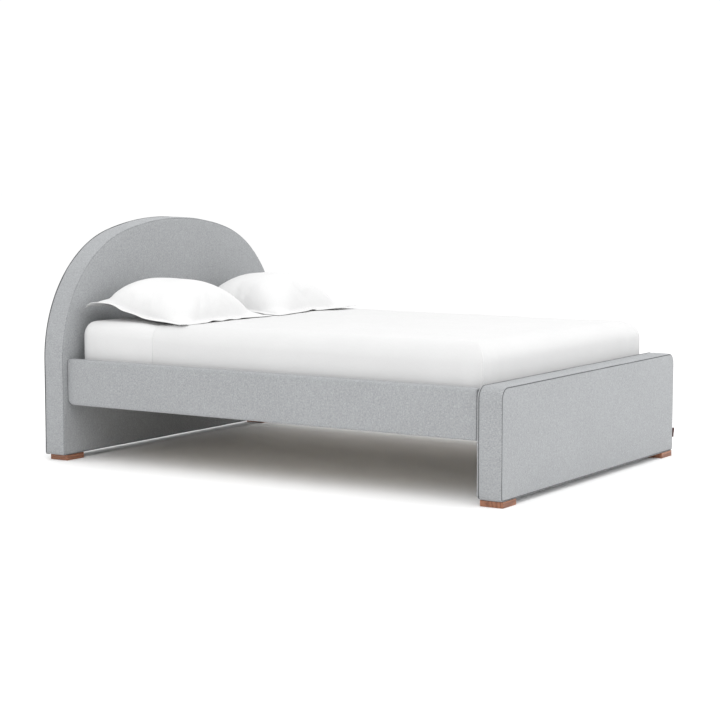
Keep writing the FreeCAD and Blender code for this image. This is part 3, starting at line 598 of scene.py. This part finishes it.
def panel_face(name, outline, face_y, inwards, edge, back, seed, ease=unchanged):
    """A padded face, flat in the middle and rolling away at its seam, with a flat back.

    edge holds (inset, depth) pairs out to the seam, and back those round behind the padding.
    """
    rim = upright(outline, edge, face_y, inwards)
    inner = loop_patch(outline, rim[0])
    ripple = waves(14, 0.12, 0.6, seed)
    for rows, strength in ((rim, np.linspace(1, 0, len(edge))[:, None]), (inner, 1.0)):
        rows[..., 1] += inwards * 0.0005 * strength * (1 + ripple(rows[..., 0], rows[..., 2]))
    back_rim = upright(outline, back, face_y, inwards)
    sides = np.concatenate([rim[-1:], back_rim])
    behind = loop_patch(outline, back_rim[-1])
    for rows in (rim, inner, sides, behind):
        ease(rows)
    shape = Shape((rim, rim[..., [0, 2]]), (inner, inner[..., [0, 2]]),
                  (sides, run_uv(outline, sides)), (behind, behind[..., [0, 2]]))
    return closed_object(name, shape, UPHOLSTERY)


def panel_border(name, outline, face_y, inwards, outer, seed, thick, ease=unchanged):
    """The band of cloth and wadding round a panel's edge, gently full between its seams.

    outer holds (inset, depth) pairs from its front lip to its rear lip; thick is the wadding's.
    """
    first, last = outer[0][1], outer[-1][1]
    profile = list(outer) + [(thick, last), (thick, first), outer[0]]
    rows = upright(outline, profile, face_y, inwards)
    ripple = waves(10, 0.10, 0.5, seed)
    share = np.zeros(len(profile))
    share[1:len(outer) - 1] = 1
    depths = np.array([depth for _, depth in profile])
    lift = 0.0006 * share[:, None] * ripple(outline.run[None, :], depths[:, None])
    lift[:, -1] = lift[:, 0]
    away = rows - rows.mean(axis=(0, 1))
    away[..., 1] = 0
    away /= np.linalg.norm(away, axis=-1, keepdims=True)
    rows += away * lift[..., None]
    ease(rows)
    return closed_object(name, Shape((rows, run_uv(outline, rows))), UPHOLSTERY)


def seam_welt(name, outline, face_y, inwards, inset, depth, radius, material, ease=unchanged):
    """Thin piping, with sizes in mm, that sits down in the groove between two covers."""
    turns = 10
    profile = [(inset + radius * math.cos(2 * math.pi * k / turns),
                depth + radius * math.sin(2 * math.pi * k / turns)) for k in range(turns)]
    rows = upright(outline, mm_pairs(*profile, profile[0]), face_y, inwards)
    ease(rows)
    return closed_object(name, Shape((rows, run_uv(outline, rows))), material)


def upholstered_headboard():
    low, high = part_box("headboard_border_cover")
    front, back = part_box("headboard_front_cover")[0].y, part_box("headboard_back_cover")[1].y
    deep = (back - front) / MM
    fuller = 0.006      # how much wider the padding makes each side than the frame
    outline = Outline(arch_segments(high.x + fuller, low.z, high.z, 0.010),
                      [((0, 0.0), (3, 0.45), 84)], [((3, 0.45), (5, 0.55), 104)],
                      [((5, 0.55), (8, 1.0), 84)], [((9, 0.0), (11, 1.0), 104)])
    # The front cover rolls into a narrow seam; the rear seam is right on the corner.
    face = panel_face("headboard_front_face", outline, front, 1,
                      mm_pairs((70, 0.02), (52, 0.04), (40, 0.08), (28, 0.15), (20, 0.25),
                               (13, 0.5), (9, 0.9), (7.4, 1.25), (6.7, 1.6)),
                      mm_pairs((6.35, 2.3), (6.3, 5.4), (11.4, 5.5), (11.4, 25.3)), 11)
    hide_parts("headboard_front_cover", "headboard_foam")
    front_lip = [(4.5, 6.0), (4.5, 4.0), (4.4, 3.0), (4.0, 2.4), (3.3, 2.6), (2.0, 4.2),
                 (0.7, 7.6), (0.15, 11.0), (0.0, 14.0)]
    rear_lip = [(0.0, deep - 8), (0.1, deep - 5), (0.3, deep - 3.6), (0.8, deep - 2.9),
                (2.6, deep - 2.8), (2.7, deep - 1.9)]
    border = panel_border("headboard_border_band", outline, front, 1,
                          mm_pairs(*front_lip, *full_band(14, deep - 8, 0.6), *rear_lip), 12,
                          0.0048)
    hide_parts("headboard_border_cover")
    rear = panel_face("headboard_back_face", outline, back, -1,
                      mm_pairs((60, 0.0), (24, 0.03), (9, 0.1), (5, 0.2), (3.4, 0.4), (2.9, 0.7)),
                      mm_pairs((2.8, 1.4), (30, 1.45)), 13)
    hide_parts("headboard_back_cover")
    # This welt's mid-grey cloth is painted seam shadow.
    front_welt = seam_welt("headboard_front_seam", outline, front, 1, 5.4, 2.7, 1.1, SOFT_PAINTED_SEAM_SHADOW)
    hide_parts("headboard_front_welt")
    # This welt's dark cloth is painted seam shadow.
    rear_welt = seam_welt("headboard_rear_seam", outline, back, -1, 0.4, 0.7, 1.9, PAINTED_SEAM_SHADOW)
    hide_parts("headboard_rear_welt")
    for piece in (face, border, rear):
        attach(piece, "bed_frame")
    for piece in (front_welt, rear_welt):
        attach(piece, "bed_frame")


def upholstered_footboard():
    low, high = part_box("footboard_border_cover")
    outer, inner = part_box("footboard_outer_cover")[0].y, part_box("footboard_inner_cover")[1].y
    deep = (inner - outer) / MM
    fuller = 0.004      # how much wider the padding makes each side than the frame
    outline = boxed_outline(box_segments(low.x - fuller, low.z, high.x + fuller, high.z,
                                         0.014, 0.045), 110, 44)
    ease = eased_underside(inner, low.z, 0.016)
    # The outer seam is on the corner; the inner cover wraps it, so its seam is on the band.
    outer_edge = mm_pairs((70, 0.0), (46, 0.02), (30, 0.05), (16, 0.1), (10.5, 0.3), (7.8, 0.6),
                          (6.6, 0.95), (6.0, 1.4))
    outer_back = mm_pairs((5.75, 2.0), (5.7, 4.8), (11.4, 4.9), (11.4, 25.3))
    inner_edge = mm_pairs((70, 0.0), (46, 0.05), (30, 0.1), (20, 0.15), (12, 0.35), (6, 0.9),
                          (3, 2.1), (1.2, 3.8), (0.4, 5.8), (0.3, 7.6))
    inner_back = mm_pairs((0.6, 8.3), (1.4, 8.6), (3.6, 8.7), (11.4, 8.8), (11.4, 25.3))
    pieces = []
    for name, y, inwards, edge, back, seam, seed in (
            ("outer", outer, 1, outer_edge, outer_back, (4.2, 3.0, 1.4), 21),
            ("inner", inner, -1, inner_edge, inner_back, (0.4, 9.7, 1.5), 22)):
        face = panel_face(f"footboard_{name}_face", outline, y, inwards, edge, back, seed, ease)
        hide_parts(f"footboard_{name}_cover")
        # The welt's dark cloth is painted seam shadow.
        welt = seam_welt(f"footboard_{name}_seam", outline, y, inwards, *seam, PAINTED_SEAM_SHADOW, ease)
        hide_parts(f"footboard_{name}_welt")
        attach(welt, "bed_frame")
        pieces.append(face)
    outer_lip = [(2.7, 5.2), (2.65, 3.4), (2.5, 2.5), (2.1, 2.1), (1.5, 2.4), (0.8, 3.3),
                 (0.3, 5.0), (0.05, 7.0), (0.0, 9.0)]
    inner_lip = [(0.0, deep - 16), (0.1, deep - 13), (0.35, deep - 11.4), (0.9, deep - 10.9),
                 (3.9, deep - 10.7), (4.0, deep - 9.1)]
    border = panel_border("footboard_border_band", outline, outer, 1,
                          mm_pairs(*outer_lip, *full_band(9, deep - 16, 0.8), *inner_lip), 23,
                          0.0113, ease)
    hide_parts("footboard_border_cover", "footboard_foam")
    for piece in pieces + [border]:
        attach(piece, "bed_frame")


def sewn_label():
    """A folded ribbon whose two ends go into the footboard's side seam."""
    low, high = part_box("footboard_tag")
    wide, tall, gap = high.x - low.x, high.z - low.z, (high.y - low.y) / 2
    half, sewn_in, longer = 0.00045, 0.002, 0.012
    radius = gap - half
    middle_y, bend_x = (low.y + high.y) / 2, high.x - gap + longer
    path = [(low.x - sewn_in + (bend_x - low.x + sewn_in) * k / 8, middle_y + radius)
            for k in range(8)]
    bend = arc(bend_x, middle_y, radius, math.pi / 2, -math.pi / 2)
    path += [bend(k / 8) for k in range(9)]
    path += [(x, 2 * middle_y - y) for x, y in reversed(path[:8])]
    path = np.array(path)
    tangent = np.gradient(path, axis=0)
    normal = np.stack([tangent[:, 1], -tangent[:, 0]], axis=1)
    normal /= np.linalg.norm(normal, axis=1, keepdims=True)
    heights = np.linspace(low.z, high.z, 13)
    across = np.abs(path[:, 0] - low.x)
    uv = np.stack(np.broadcast_arrays(across[None], heights[:, None] - low.z), axis=-1)
    sheets = []
    for side in (-1, 1):
        rows = np.array([np.insert(path + normal * half * side, 2, z, axis=1) for z in heights])
        curl = np.sin((rows[..., 2] - low.z) / tall * 5.0 + 0.6)
        rows[..., 1] += 0.0009 * (rows[..., 0] - low.x) / wide * curl
        sheets.append(Shape((rows, uv)))
    tag = shell_object("footboard_label", sheets[1], sheets[0], label_ribbon("label", wide, tall))
    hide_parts("footboard_tag")
    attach(tag, "bed_frame")


# ---- side rails ---------------------------------------------------------------------------

def drawn_in(radius, from_end):
    """How far a rounded end with this radius draws in, at a distance from the end."""
    reach = max(radius - from_end, 0.0)
    return radius - math.sqrt(max(radius ** 2 - reach ** 2, 0.0))


def rail_section(low, high, near, far):
    """A rail's outline in XZ, at distances from its foot end and from its head end."""
    mid_x, half_x = (low.x + high.x) / 2, (high.x - low.x) / 2
    corner, turns, wide_steps, tall_steps = 0.009, 7, 6, 22
    bottom = low.z + max(drawn_in(0.005, near), drawn_in(0.026, far))
    top = high.z - max(drawn_in(0.006, near), drawn_in(0.009, far))
    wide = half_x - drawn_in(0.0042, min(near, far))
    r = min(corner, wide * 0.9)
    arcs = []
    for quarter, (across, up) in enumerate(((1, 1), (-1, 1), (-1, -1), (1, -1))):
        turn = arc(mid_x + across * (wide - r), (top - r) if up > 0 else (bottom + r), r,
                   quarter * math.pi / 2, (quarter + 1) * math.pi / 2)
        arcs.append([turn(k / turns) for k in range(turns + 1)])
    points = []
    for here, then, count in zip(arcs, arcs[1:] + arcs[:1], (wide_steps, tall_steps) * 2):
        straight = line(*here[-1], *then[0])
        points += here + [straight(k / count) for k in range(1, count)]
    return np.array(points + points[:1])


def side_rail(side, sign):
    """Cloth and wadding wrapped round the rail's board, with soft corners at its ends."""
    low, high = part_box(f"side_rail_cover_{side}")
    mid_x, half_x = (low.x + high.x) / 2, (high.x - low.x) / 2
    # A narrow dark gap is left at the footboard; at the headboard the rail presses in.
    start_y, stop_y = low.y + 0.0085, high.y + 0.0011
    steps = [s * MM for s in (0, 0.15, 0.5, 1.2, 2.2, 3.4, 5, 7, 9.5, 12.5, 16, 20, 26, 34, 44)]
    stations = [start_y + s for s in steps]
    stations += list(np.linspace(start_y + 0.058, stop_y - 0.058, 150))
    stations += [stop_y - s for s in reversed(steps)]

    # The cloth stands a little full and uneven between the rail's soft edges.
    ripple = waves(12, 0.10, 0.7, 31 + sign)
    rows = []
    for y in stations:
        ring = rail_section(low, high, y - start_y, stop_y - y)
        ends = fade(min(y - start_y, stop_y - y), 0.0, 0.06)
        up = np.clip((ring[:, 1] - low.z) / (high.z - low.z), 0, 1)
        full = 0.0012 * np.sin(math.pi * up) + 0.0007 * ripple(np.full(len(ring), y), ring[:, 1])
        full[-1] = full[0]
        off = ring[:, 0] - mid_x
        ring[:, 0] += np.sign(off) * full * ends * (np.abs(off) > half_x * 0.8)
        rows.append(np.insert(ring, 1, y, axis=1))
    rows = np.array(rows)
    around = np.concatenate(([0], np.cumsum(np.linalg.norm(np.diff(rows[80], axis=0), axis=1))))
    along = rows[:, 0, 1]
    shape = Shape((rows, np.stack(np.broadcast_arrays(along[:, None], around[None]), axis=-1)))
    for ring in (rows[0], rows[-1]):
        centre = np.array([mid_x, ring[0, 1], (low.z + high.z) / 2])
        cap = np.array([ring, centre + (ring - centre) * (0.45, 1.0, 0.88),
                        centre + (ring - centre) * (0.0, 1.0, 0.70)])
        shape.lattice(cap, cap[..., [0, 2]])
    points, _, faces, corner_uvs = shape.arrays()
    # Inside is a hollow for the rail's board, whose faces look into it.
    lo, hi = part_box(f"side_rail_board_{side}")
    box = [(x, y, z) for x in (lo.x, hi.x) for y in (lo.y, hi.y) for z in (lo.z, hi.z)]
    sides = [(0, 1, 3, 2), (4, 6, 7, 5), (0, 4, 5, 1), (2, 3, 7, 6), (0, 2, 6, 4), (1, 5, 7, 3)]
    faces += [[len(points) + v for v in face] for face in sides]
    corner_uvs += [[(0.0, 0.0), (0.1, 0.0), (0.1, 0.1), (0.0, 0.1)]] * len(sides)
    rail = mesh_object(f"side_rail_upholstery_{side}", np.concatenate([points, box]), faces,
                       corner_uvs, UPHOLSTERY, flip_inner=len(sides))
    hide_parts(f"side_rail_cover_{side}", f"side_rail_foam_{side}")
    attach(rail, "bed_frame")


# ---- mattress and bedding -----------------------------------------------------------------

PLAN_CORNER = 0.036
HEAD_LIFT, SIDE_DROP = 0.0135, 0.008


def dome(radius, steps):
    """Insets and drops of a rounded edge, from its side to its top."""
    turns = [math.pi / 2 * k / steps for k in range(steps + 1)]
    return [(radius * (1 - math.cos(a)), radius * (1 - math.sin(a))) for a in turns]


def from_middle(rows):
    """Level directions away from the middle of the bed."""
    away = rows * np.array([1.0, 1.0, 0.0])
    return away / np.linalg.norm(away, axis=-1, keepdims=True)


def soft_sides(low, high, edge_r, steps):
    """(inset, height) up a side and over its rounded top edge."""
    straight = np.linspace(low, high - edge_r, max(int((high - edge_r - low) / 0.012), 3))
    profile = [(0.0, z) for z in straight[:-1]]
    return profile + [(inset, high - drop) for inset, drop in dome(edge_r, steps)]


def settle(rows, lift=HEAD_LIFT):
    """Makes the bed's top a little fuller at the head, and lower along its right side."""
    low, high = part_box("fitted_sheet")
    up = fade(rows[..., 2], (low.z + high.z) / 2, high.z)
    fuller = lift * fade(rows[..., 1], 0.45, 0.72)
    rows[..., 2] += up * (fuller - SIDE_DROP * fade(rows[..., 0], 0.25, 0.66))


def bare_mattress():
    low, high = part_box("mattress")
    outline = boxed_outline(box_segments(low.x, low.y, high.x, high.y, PLAN_CORNER, PLAN_CORNER),
                            100, 136)
    under = low.z + 0.0004
    profile = [(0.030, under), (0.016, under), (0.004, under)]
    profile += soft_sides(low.z + 0.004, high.z - 0.0008, 0.0545, 9)
    rows = level(outline, profile)
    bulge = np.sin(math.pi * np.clip((rows[..., 2] - low.z) / (high.z - low.z), 0, 1))
    rows -= from_middle(rows) * 0.0012 * (1 - bulge[..., None])
    base, top = (loop_patch(outline, row) for row in (rows[0], rows[-1]))
    settle(rows)
    settle(top)
    shape = Shape((rows, run_uv(outline, rows)), (base, base[..., :2]), (top, top[..., :2]))
    block = closed_object("mattress_body", shape, TICKING)
    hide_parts("mattress")
    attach(block, "mattress")
    # Piping runs round the lower edge.
    piping = arc(0.0065, low.z + 0.0055, 0.0045, 0, 2 * math.pi)
    tape_profile = [piping(f) for f in np.linspace(0, 1, 11)]
    tape_profile[-1] = tape_profile[0]
    tape_rows = level(outline, tape_profile)
    tape = Shape((tape_rows, run_uv(outline, tape_rows)))
    edge_tape = closed_object("mattress_tape_edge", tape, PERCALE)
    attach(edge_tape, "mattress")


def fitted_sheet():
    low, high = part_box("fitted_sheet")
    corner = PLAN_CORNER + 0.0015
    outline = boxed_outline(box_segments(low.x, low.y, high.x, high.y, corner, corner), 120, 160)
    thick, steps = 0.0011, 10
    outer_profile = soft_sides(low.z + 0.002, high.z, 0.056, steps)
    bend = len(outer_profile) - steps - 1
    inner_profile = [(inset + thick, z - (thick if k >= bend else 0))
                     for k, (inset, z) in enumerate(outer_profile)]
    outer, inner = level(outline, outer_profile), level(outline, inner_profile)
    # Elastic gathers it into small pleats near the corners, which die out towards the top.
    run = outline.run
    corners = [run[mark] for mark in outline.marks[:4]] + [run[-1]]
    from_corner = np.min([np.abs(run - corner_run) for corner_run in corners], axis=0)
    gather_reach, pleat_pitch = 0.16, 0.034
    gather = np.exp(-((from_corner / gather_reach) ** 2))
    pleat = np.sin(run * 2 * math.pi / pleat_pitch + 2.0 * np.sin(run * 9.0))
    height = (outer[..., 2] - low.z) / (high.z - low.z)
    lift = 0.0016 * gather[None] * pleat[None] * (1 - 0.75 * fade(height, 0.55, 0.95))
    lift += 0.0005 * waves(12, 0.08, 0.4, 41)(run[None], outer[..., 2])
    lift = np.maximum(lift, -0.0004) * fade(1.02 - height, 0.0, 0.25)
    lift[:, -1] = lift[:, 0]
    away = from_middle(outer)
    cloth = run_uv(outline, outer)
    shapes = []
    for rows in (outer, inner):
        rows += away * lift[..., None]
        top = loop_patch(outline, rows[-1])
        settle(rows)
        settle(top)
        shapes.append(Shape((rows, cloth), (top, top[..., :2])))
    sheet = shell_object("fitted_sheet_cotton", shapes[0], shapes[1], PERCALE)
    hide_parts("fitted_sheet")
    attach(sheet, "mattress")


def duvet_segments(x0, y0, x1, head, corner):
    """An open outline round the bed: down the right side, across the foot, up the left."""
    def segments(inset):
        r = max(corner - inset, 0.0005)
        a, b, c = x0 + inset, y0 + inset, x1 - inset
        right_1, right_2, left_1, left_2 = (
            arc(x, b + r, r, -part * math.pi / 4, -(part + 1) * math.pi / 4)
            for x, part in ((c - r, 0), (c - r, 1), (a + r, 2), (a + r, 3)))
        return [line(c, head, c, b + r), right_1, right_2, line(c - r, b, a + r, b),
                left_1, left_2, line(a, b + r, a, head)]
    return segments


def corner_folds(run, corners):
    """A narrow ridge of cloth at each corner of the foot end, with softer folds beside it."""
    off = np.min([np.abs(run - corner) for corner in corners], axis=0)
    folds = ((0.0062, 0.000, 0.0045), (-0.0018, 0.020, 0.011), (0.0016, 0.060, 0.022),
             (-0.0012, 0.110, 0.034), (0.0008, 0.165, 0.040))
    return sum(rise * np.exp(-((off - where) / wide) ** 2) for rise, where, wide in folds)


def duvet_outline(low, high):
    """Round the duvet's three tucked sides, with more points at the hem and the corners."""
    return Outline(duvet_segments(low.x, low.y, high.x, high.y, PLAN_CORNER + 0.004),
                   [((0, 0.0), (0, 0.03), 14), ((0, 0.03), (0, 0.92), 104),
                    ((0, 0.92), (1, 0.4), 20), ((1, 0.4), (1, 1.0), 14)],
                   [((2, 0.0), (2, 0.6), 14), ((2, 0.6), (3, 0.09), 20),
                    ((3, 0.09), (3, 0.91), 82), ((3, 0.91), (4, 0.4), 20),
                    ((4, 0.4), (4, 1.0), 14)],
                   [((5, 0.0), (5, 0.6), 14), ((5, 0.6), (6, 0.08), 20),
                    ((6, 0.08), (6, 0.97), 104), ((6, 0.97), (6, 1.0), 14)])


def duvet():
    """A thin quilt tucked in round the mattress, thinning to a turned hem across the bed."""
    low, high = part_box("duvet")
    edge, inner_edge, thick_top, thick_side, steps = 0.076, 0.057, 0.0132, 0.0036, 14
    outline = duvet_outline(low, high)
    side = soft_sides(low.z, high.z, edge, steps)
    bend = len(side) - steps - 1
    inner_side = [(thick_side, z) for _, z in side[:bend]]
    inner_side += [(thick_side + inset, high.z - thick_top - drop)
                   for inset, drop in dome(inner_edge, steps)]
    outer, inner = level(outline, side), level(outline, inner_side)
    run, marks = outline.run, outline.marks
    # Long soft waves and small creases, both pressed flat where the side meets the top.
    flow, crease = waves(18, 0.16, 0.9, 51), waves(16, 0.05, 0.16, 52)
    height = (outer[..., 2] - low.z) / (high.z - low.z)
    lift = corner_folds(run, [run[mark] for mark in marks[1:3]])[None] * fade(
        1.0 - height, 0.0, 0.30)
    lift += 0.0012 * (flow(run[None], outer[..., 2] * 0.35) - 0.5)
    lift += 0.0004 * crease(run[None], outer[..., 2] * 0.5)
    outwards = (outline(0.0) - outline(0.02)) / 0.02
    outwards /= np.linalg.norm(outwards, axis=1, keepdims=True)
    outer[..., :2] += outwards[None] * (lift * fade(1.0 - height, 0.0, 0.12))[..., None]
    outer[..., 2] -= 0.0022 * (1 + flow(outer[..., 0], outer[..., 1])) * fade(height, 0.80, 1.0)

    def top_patch(rows):
        row = rows[-1]
        right, foot, left = row[:marks[1] + 1], row[marks[1]:marks[2] + 1], row[marks[2]:]
        head = np.linspace(row[0], row[-1], len(foot))
        return patch(right[::-1], head, left[::-1], foot[::-1])

    outer_top, inner_top = top_patch(outer), top_patch(inner)
    inside = np.minimum(np.minimum(high.x - outer_top[..., 0], outer_top[..., 0] - low.x),
                        outer_top[..., 1] - low.y) - edge
    outer_top[..., 2] = (high.z - 0.0022 * (1 + flow(outer_top[..., 0], outer_top[..., 1]))
                         - 0.0010 * (1 + crease(outer_top[..., 0], outer_top[..., 1]))
                         * fade(inside, 0.0005, 0.12))
    cloth = run_uv(outline, outer)
    for rows, lift in ((outer, 0.0), (outer_top, 0.0), (inner, HEAD_LIFT), (inner_top, HEAD_LIFT)):
        settle(rows, lift)
    shapes = [Shape(), Shape()]
    for above, below, uv in ((outer, inner, cloth), (outer_top, inner_top, outer_top[..., :2])):
        # Towards the hem the filling runs out, and the turned edge leaves a faint bead.
        from_hem = high.y - above[..., 1]
        full = 0.24 + 0.76 * fade(from_hem, 0.004, 0.075)
        full += 0.14 * np.exp(-(((from_hem - 0.005) / 0.006) ** 2))
        least = 0.0016 * (1 - fade(from_hem, 0.0, 0.08))[..., None]
        gap = above - below
        reach = np.linalg.norm(gap, axis=-1, keepdims=True)
        above[:] = below + gap * np.maximum(full[..., None], np.minimum(least / reach, 1.0))
        for shape, rows in zip(shapes, (above, below)):
            shape.lattice(rows, uv)
    quilt = shell_object("duvet_quilt", shapes[0], shapes[1], LINEN)
    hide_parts("duvet")
    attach(quilt, "mattress")


def evened(rows, passes):
    """A lattice of heights with each evened out towards its neighbours."""
    for _ in range(passes):
        wide = np.pad(rows, 1, mode="edge")
        rows = (wide[:-2, 1:-1] + wide[2:, 1:-1] + wide[1:-1, :-2] + wide[1:-1, 2:] + 4 * rows) / 8
    return rows


def blown_up(points, faces, filled):
    """Fills a pillow's cover with the cloth solver, weightless, and gives its new points."""
    mesh = bpy.data.meshes.new("pillow_start")
    mesh.from_pydata(points.tolist(), [], faces)
    thing = bpy.data.objects.new("pillow_start", mesh)
    scene = bpy.context.scene
    scene.collection.objects.link(thing)
    group = thing.vertex_groups.new(name="filled")
    group.add(list(range(len(points))), 0.0, "REPLACE")
    group.add(filled.tolist(), 1.0, "REPLACE")
    cloth = thing.modifiers.new("cloth", "CLOTH")
    settings = cloth.settings
    settings.quality = 8
    settings.mass = 0.25
    settings.tension_stiffness = settings.compression_stiffness = 40
    settings.shear_stiffness = 12
    settings.bending_stiffness = 0.8
    settings.air_damping = 4
    settings.effector_weights.gravity = 0
    settings.use_pressure = True
    settings.uniform_pressure_force = 4
    settings.vertex_group_pressure = "filled"
    cloth.collision_settings.use_self_collision = False
    for step in range(1, 27):
        scene.frame_set(step)
    solved = thing.evaluated_get(bpy.context.evaluated_depsgraph_get())
    points = np.array([v.co for v in solved.data.vertices])
    thing.modifiers.remove(cloth)
    scene.frame_set(1)
    bpy.data.objects.remove(thing)
    return points


def solved_cover(x, y, margin, seed):
    """A pillow cover's upper and lower points, cut flat to x and y and then filled.

    margin says how many cells a point is in from the seam between filling and flange.
    """
    inside = margin > 0
    puff = np.where(inside, 0.045 * np.sqrt(np.clip(margin / 10.0, 0, 1)), 0.0)
    jitter = np.random.default_rng(seed).uniform(-0.0006, 0.0006, x.shape)
    above = np.stack([x, y, puff + jitter], axis=-1)
    below = np.stack([x, y, jitter - puff], axis=-1)
    top_index = np.arange(x.size).reshape(x.shape)
    under_index = top_index.copy()
    under_index[inside] = x.size + np.arange(inside.sum())
    points = np.concatenate([above.reshape(-1, 3), below[inside]])

    def quads(index, where):
        corner = [index[:-1, :-1], index[1:, :-1], index[1:, 1:], index[:-1, 1:]]
        return np.stack([c[where] for c in corner], axis=-1).tolist()

    body = (margin[:-1, :-1] >= 0) & (margin[1:, 1:] >= 0)
    faces = quads(top_index, np.ones_like(body))
    faces += [quad[::-1] for quad in quads(under_index, body)]
    points = blown_up(points, faces,
                      np.concatenate([top_index[inside], under_index[inside]]))
    return points[top_index], points[under_index]


def pillow_sham(side, seed, tilt):
    """A filled pillow in a cover with a flat flange, its back edge propped up."""
    low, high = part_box(f"pillow_sham_{side}")
    wide, deep, tall = high - low
    cells_x, cells_y, flange = 56, 48, 4
    cut_x, cut_y = wide * 1.06, deep * 1.07
    x, y = np.meshgrid(np.linspace(-cut_x / 2, cut_x / 2, cells_x + 1),
                       np.linspace(-cut_y / 2, cut_y / 2, cells_y + 1), indexing="ij")
    i, j = np.indices(x.shape)
    margin = np.minimum(np.minimum(i, cells_x - i), np.minimum(j, cells_y - j)) - flange
    inside, on_seam = margin > 0, margin == 0
    upper, lower = solved_cover(x, y, margin, seed)

    # The filling is part solved, part a plain cushion form, fitted to the pillow's height.
    thick = evened(upper[..., 2] - lower[..., 2], 6) * inside
    wave = evened(upper[..., 2] + lower[..., 2], 3) / 2
    across, along = i / (cells_x / 2) - 1, j / (cells_y / 2) - 1
    off = (np.abs(across / (1 - 2 * flange / cells_x)) ** 2.8
           + np.abs(along / (1 - 2 * flange / cells_y)) ** 2.8) ** (1 / 2.8)
    full = (1 - np.clip(off, 0, 1) ** 2.2) ** 0.8
    thick = (0.3 * thick / thick.max() + 0.7 * full) * (tall + 0.003)
    # The plan is fitted to the pillow's own box, with a narrow flange.
    span_low = np.minimum(upper, lower).min(axis=(0, 1))
    span_high = np.maximum(upper, lower).max(axis=(0, 1))
    share = (upper - span_low) / (span_high - span_low)
    u, v = (share[..., 0] + i / cells_x) / 2, (share[..., 1] + j / cells_y) / 2
    for axis, at, spare, cells in ((0, u, -0.008, cells_x), (1, v, 0.0008, cells_y)):
        seam_at = flange / cells
        at = np.interp(at, (0, seam_at, 0.28, 0.72, 1 - seam_at, 1),
                       (0, 0.045, 0.27, 0.73, 0.955, 1))
        upper[..., axis] = low[axis] + spare + at * (high[axis] - low[axis] - 2 * spare)
        lower[..., axis] = upper[..., axis]
    # Its underside rises towards the headboard, most at the outer side, and is nearly flat.
    rise = 0.022 * fade(v, 0.02, 0.5) + 0.052 * fade(v, 0.44, 0.84) - 0.020 * fade(v, 0.84, 1.02)
    lean = tilt[1] + (tilt[0] - tilt[1]) * (1 - fade(u, 0.0, 0.6))
    seam = 0.0016 + rise * lean + 0.35 * np.clip(wave - wave.mean(), -0.012, 0.012)
    under = seam - 0.12 * thick
    under = (under + np.sqrt(under ** 2 + 0.003 ** 2)) / 2
    lower[..., 2] = low.z - 0.0016 + under
    upper[..., 2] = lower[..., 2] + thick
    normal = np.cross(np.gradient(upper, axis=0), np.gradient(upper, axis=1))
    normal /= np.linalg.norm(normal, axis=-1, keepdims=True)
    half = np.where(inside, 0.0, 0.0012)[..., None]
    upper += normal * half
    lower -= normal * half
    upper[on_seam] -= normal[on_seam] * 0.0007
    for rows in (upper, lower):
        rows[..., 2] = np.clip(rows[..., 2], low.z - 0.002, high.z + 0.010)
    uv = np.stack([x, y], axis=-1)
    sham = shell_object(f"pillow_{side}_flanged_sham", Shape((upper, uv)), Shape((lower, uv)),
                        SHAM)
    smooth = sham.modifiers.new("subdivision", "SUBSURF")
    smooth.levels = smooth.render_levels = 1
    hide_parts(f"pillow_sham_{side}", f"pillow_insert_{side}")
    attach(sham, f"pillow_{side}")


# ---- stage, light and camera --------------------------------------------------------------

def pale_floor():
    far = 60.0
    mesh = bpy.data.meshes.new("floor")
    mesh.from_pydata([(-far, -far, 0), (far, -far, 0), (far, far, 0), (-far, far, 0)],
                     [], [(0, 1, 2, 3)])
    floor = bpy.data.objects.new("floor", mesh)
    floor.location.z = -0.0004
    bpy.context.scene.collection.objects.link(floor)
    mesh.materials.append(Finish("pale_floor", Base_Color=(0.96, 0.96, 0.96), Roughness=0.9,
                                 Specular_IOR_Level=0.0).material)


def aimed(name, data, spot, view):
    """A lamp or camera at a spot, looking along the view."""
    thing = bpy.data.objects.new(name, data)
    thing.location = spot
    thing.rotation_euler = view.to_track_quat("-Z", "Y").to_euler()
    bpy.context.scene.collection.objects.link(thing)
    return thing


def soft_light():
    scene = bpy.context.scene
    scene.view_settings.view_transform = "Standard"
    scene.world = bpy.data.worlds.new("studio")
    scene.world.use_nodes = True
    colour, strength = scene.world.node_tree.nodes["Background"].inputs[:2]
    colour.default_value, strength.default_value = (1.0, 1.0, 1.0, 1.0), 1.06
    for name, spot, aim, wide, power in (
            ("key", (1.0, -3.9, 1.9), (0.0, -1.0, 0.3), 1.8, 30.0),
            ("front", (-4.8, -1.8, 5.0), (-0.8, 0.0, 0.1), 4.0, 95.0),
            ("top", (0.0, 0.0, 5.0), (0.0, 0.0, 0.0), 6.0, 85.0)):
        lamp = bpy.data.lights.new(name, "AREA")
        lamp.shape, lamp.size, lamp.energy = "SQUARE", wide, power
        aimed(name, lamp, spot, Vector(aim) - Vector(spot))


def camera():
    """The camera looks from the foot end's left corner, a little above the mattress."""
    azimuth, elevation = math.radians(-57.2428), math.radians(5.8274)
    distance, aside, aim_height = 7.9051, -0.010, 0.4105
    back = Vector((math.sin(azimuth) * math.cos(elevation),
                   -math.cos(azimuth) * math.cos(elevation), math.sin(elevation)))
    right = Vector((math.cos(azimuth), math.sin(azimuth), 0))
    lens = bpy.data.cameras.new("camera")
    lens.lens, lens.sensor_width, lens.clip_end = 94.37, 36, 200
    spot = right * aside + Vector((0, 0, aim_height)) + back * distance
    bpy.context.scene.camera = aimed("camera", lens, spot, -back)


pale_floor()
soft_light()
camera()
finish_kept_nodes()
upholstered_headboard()
upholstered_footboard()
sewn_label()
side_rail("left", -1)
side_rail("right", 1)
bare_mattress()
fitted_sheet()
duvet()
pillow_sham("left", 61, (1.0, 0.55))
pillow_sham("right", 62, (0.42, 0.42))
